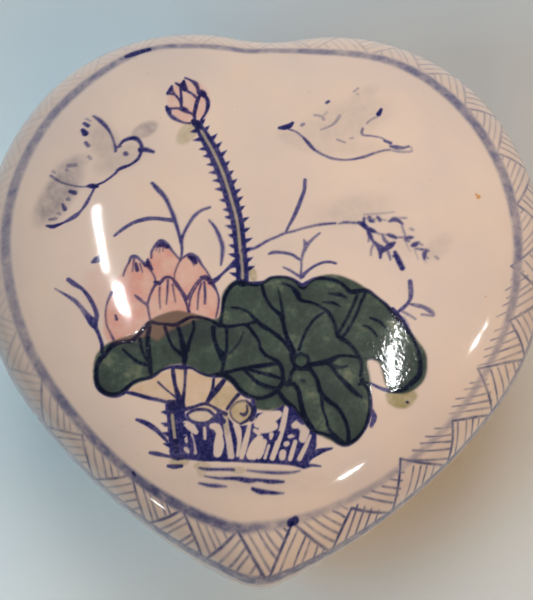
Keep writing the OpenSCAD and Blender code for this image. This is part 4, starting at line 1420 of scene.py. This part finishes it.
FRIEZE_LINES = ((20.9, 0.9), (19.4, 0.4), (4.1, 0.8))     # heights and widths
FRIEZE_TOP = 24
FRIEZE_SEED = 300
FRIEZE_WAVES = 14
FRIEZE_MIDDLE, FRIEZE_SWING = 12.0, 2.4


def paint_frieze(length):
    """A running vine with curls and leaf sprays, in millimetres round the base and up it."""
    frieze = Sheet((-BORDER_MARGIN, 0), (length + BORDER_MARGIN, FRIEZE_TOP))
    period = length / FRIEZE_WAVES
    for index in range(-1, FRIEZE_WAVES + 1):
        random = np.random.default_rng(FRIEZE_SEED + index % FRIEZE_WAVES)
        start = index * period
        turns = np.linspace(0, 2 * math.pi, 13)
        vine = [start + turns / (2 * math.pi) * period, FRIEZE_MIDDLE + FRIEZE_SWING * np.sin(turns),
                0.8 + 0.2 * np.sin(2 * turns)]
        frieze.stroke(smooth_line(np.stack(vine, -1)), 0.66, edge=0.2)
        for share, side in ((0.25, 1), (0.75, -1)):
            top = np.array([start + share * period, FRIEZE_MIDDLE + side * FRIEZE_SWING])
            curl = [(0, 0, 0.8), (2.0, -1.3, 0.75), (2.0, -3.4, 0.7), (0, -4.1, 0.65), (-1.3, -3.0, 0.6),
                    (-0.6, -2.1, 0.5)]
            curl = [(top[0] + x, top[1] + side * y, width) for x, y, width in curl]
            frieze.stroke(smooth_line(curl), 0.64, edge=0.2)
            for turn in (-58, -22, 14, 50):
                out = direction(90 * side + turn)
                tip = top + out * random.uniform(3.0, 3.5)
                leaf = [(*(top + out * 0.5), 0.5), (*(top + out * 1.8), 1.25), (*tip, 0.3)]
                frieze.stroke(smooth_line(leaf), random.uniform(0.6, 0.85), edge=0.2)
        for share in (0, 0.5):
            x = start + share * period
            for side in (-1, 1):
                bud = [(x, FRIEZE_MIDDLE, 0.5), (x + 0.9, FRIEZE_MIDDLE + side * 1.6, 1.1),
                       (x + 1.3, FRIEZE_MIDDLE + side * 3.2, 0.35)]
                frieze.stroke(smooth_line(bud), random.uniform(0.55, 0.8), edge=0.2)
    return frieze


# ---------------------------------------------------------------- the box

SHEETS = {
    "cobalt": paint_cobalt(),
    "band": paint_band(),
    "blots": paint_blots(),
    "wash": paint_grey_wash(),
    "green": paint_enamel(GREEN_LEAVES),
    "pink": paint_pink(),
    "ochre": paint_enamel(OCHRE_FAN, soften=0.4),
    "body": paint_enamel(GREEN_LEAVES, soften=1.2),
    "olive": paint_olive(),
    "rust": paint_rust(),
    "pool": paint_pool(),
    "weave": paint_weave(),
    "frieze": paint_frieze(RIM_LENGTH),
}

glaze = painted_glaze()
make_lid_crown(glaze)
make_lid_border(glaze)
make_lid_underside(plain_glaze("lid_inner_glaze", painted=False))
make_base_wall(plain_glaze("base_painted_glaze", painted=True))
base_glaze = plain_glaze("base_glaze", painted=False)
make_base_foot(base_glaze)
make_base_inside(base_glaze)

# ---------------------------------------------------------------- table, lights and camera

TABLE_HALF = 1.2            # metres, like the lamps
TABLE_SQUARES = 24
CAMERA_TILT, CAMERA_ROLL, CAMERA_SIDE = 15, 0.9, -0.5
CAMERA_TARGET = np.array([0.6, -1.7, 34]) * MM
CAMERA_DISTANCE = 0.22
CAMERA_LENS = 76.9
GLINT_DISTANCE = 0.3

# Lamps that fall only on the box, and lamps that fall only on the floor: name, place, the side
# of the square, power and colour.
BOX_LAMPS = (
    ("overhead_lamp", (0.045, 0.012, 0.20), 0.07, 0.158, (1, 0.79, 0.60)),
    ("right_window", (0.5, 0.1, 0.35), 0.4, 0.8, (1, 0.86, 0.70)),
    ("left_window", (-0.7, -0.2, 0.5), 0.6, 1.35, (0.62, 0.84, 1)),
    ("front_window", (0.3, -0.9, 0.4), 0.55, 2.8, (1, 0.78, 0.60)),
    ("back_window", (-0.2, 0.9, 0.5), 0.55, 5.7, (0.90, 0.96, 1)),
)
FLOOR_LAMPS = (
    ("floor_back", (0, 0.45, 0.6), 0.5, 3.7, (0.98, 0.92, 0.87)),
    ("floor_left", (-0.2, -0.1, 0.2), 0.15, 0.40, (0.28, 0.73, 1)),
    ("floor_right", (0.2, -0.12, 0.2), 0.15, 0.14, (1, 0.42, 0.05)),
    ("floor_front", (0, -0.25, 0.2), 0.15, 0.44, (1, 0.68, 0.42)),
)
# Strips that the glaze mirrors: name, where the reflection starts and ends on the lid's plan in
# millimetres, the strip's width and its power.
GLINTS = (
    ("left_streak_top", (-28.6, 12.6), (-26.4, 1.4), 0.0055, 0.06),
    ("left_streak_low", (-24.6, -1.2), (-23.1, -5.6), 0.008, 0.055),
    ("right_glint", (21.1, -10.8), (21.6, -17.6), 0.005, 0.08),
    ("right_spot", (22.1, -8.4), (22.2, -8.9), 0.003, 0.008),
    ("left_rim_glint", (-17.6, -36.2), (-15.6, -37.6), 0.005, 0.012),
    ("rim_glint", (36.3, -8.5), (35.2, -10.2), 0.003, 0.035),
    ("rim_spot", (37.4, -6.4), (37.5, -6.8), 0.002, 0.006),
    ("point_glint", (13, -32.6), (16.3, -30.4), 0.003, 0.05),
)


def make_table():
    side = np.linspace(-TABLE_HALF, TABLE_HALF, TABLE_SQUARES + 1)
    x, y = np.meshgrid(side, side)
    points = np.stack([x.ravel(), y.ravel(), np.zeros(x.size)], -1)
    mesh = bpy.data.meshes.new("table_top")
    mesh.from_pydata(points, [], grid_faces(TABLE_SQUARES))
    mesh.materials.append(floor_material())
    table = bpy.data.objects.new("table_top", mesh)
    bpy.context.scene.collection.objects.link(table)
    return table


def frame_matrix(right, up, back, place):
    rows = [[right[k], up[k], back[k], place[k]] for k in range(3)]
    return Matrix(rows + [[0, 0, 0, 1]])


def camera_axes():
    tilt, side, roll = (math.radians(v) for v in (CAMERA_TILT, CAMERA_SIDE, CAMERA_ROLL))
    back = np.array([math.sin(side), -math.sin(tilt) * math.cos(side), math.cos(tilt) * math.cos(side)])
    right = np.cross(-back, [0, 1, 0])
    right /= np.linalg.norm(right)
    up = np.cross(right, -back)
    turned = math.cos(roll) * right + math.sin(roll) * up
    return turned, math.cos(roll) * up - math.sin(roll) * right, back


def make_camera():
    right, up, back = camera_axes()
    camera = bpy.data.objects.new("camera", bpy.data.cameras.new("camera"))
    camera.data.lens = CAMERA_LENS
    camera.data.sensor_width = 36
    camera.data.clip_start = 0.01
    bpy.context.scene.collection.objects.link(camera)
    camera.matrix_world = frame_matrix(right, up, back, CAMERA_TARGET + back * CAMERA_DISTANCE)
    bpy.context.scene.camera = camera


def make_light(name, place, towards, size, power, colour, along=(1, 0, 0)):
    """A rectangular light at a place in metres, with its long side along a direction."""
    light = bpy.data.lights.new(name, "AREA")
    light.shape = "RECTANGLE"
    light.size, light.size_y = size
    light.energy = power
    light.color = colour
    back = np.array(place) - np.array(towards)
    back /= np.linalg.norm(back)
    right = np.array(along, float) - np.dot(along, back) * back
    right /= np.linalg.norm(right)
    lamp = bpy.data.objects.new(name, light)
    lamp.matrix_world = frame_matrix(right, np.cross(back, right), back, np.array(place))
    bpy.context.scene.collection.objects.link(lamp)
    return lamp


def light_only(name, pieces):
    """A collection of the only pieces that a lamp falls on."""
    lit = bpy.data.collections.new(name)
    for piece in pieces:
        lit.objects.link(piece)
    return lit


def mirror_way(x, y):
    """The lid's point over a place on its plan, and the way from it that the camera mirrors."""
    angles = np.array([math.atan2(y, x)])
    shares = np.linspace(0.001, 1, 400)
    radii = np.array([dome_radius(share, angles)[0] for share in shares])
    share = np.interp(math.hypot(x, y), radii, shares)
    point = lid_place(np.array([share]), angles)[0] * MM
    normal = lid_normals(np.array([share]), angles)[0]
    to_eye = CAMERA_TARGET + camera_axes()[2] * CAMERA_DISTANCE - point
    to_eye /= np.linalg.norm(to_eye)
    return point, 2 * np.dot(normal, to_eye) * normal - to_eye


def make_glint(name, start, end, width, power):
    """A strip light whose reflection runs from one place on the lid's plan to another."""
    first, first_way = mirror_way(*start)
    last, last_way = mirror_way(*end)
    near, far = first + first_way * GLINT_DISTANCE, last + last_way * GLINT_DISTANCE
    size = (float(np.linalg.norm(far - near)), width)
    strip = make_light(name, (near + far) / 2, (first + last) / 2, size, power, (1, 1, 1), far - near)
    strip.visible_diffuse = False


def make_lamps(lamps, target, receivers):
    """Square lamps that light only their receivers, and that neither eye nor glaze sees."""
    for name, place, size, power, colour in lamps:
        lamp = make_light(name, place, target, (size, size), power, colour)
        lamp.visible_camera = False
        lamp.visible_glossy = False
        lamp.light_linking.receiver_collection = receivers


table = make_table()
box_only = light_only("box_only", PIECES)
floor_only = light_only("floor_only", [table])
make_camera()
world = bpy.data.worlds.new("soft_room")
world.use_nodes = True
room = world.node_tree.nodes["Background"]
room.inputs["Color"].default_value = (0.85, 0.93, 1, 1)
room.inputs["Strength"].default_value = 0.05
bpy.context.scene.world = world
bpy.context.scene.view_settings.view_transform = "Standard"
make_lamps(BOX_LAMPS, (0, 0, 0.03), box_only)
make_lamps(FLOOR_LAMPS, (0, 0, 0), floor_only)
for glint in GLINTS:
    make_glint(*glint)
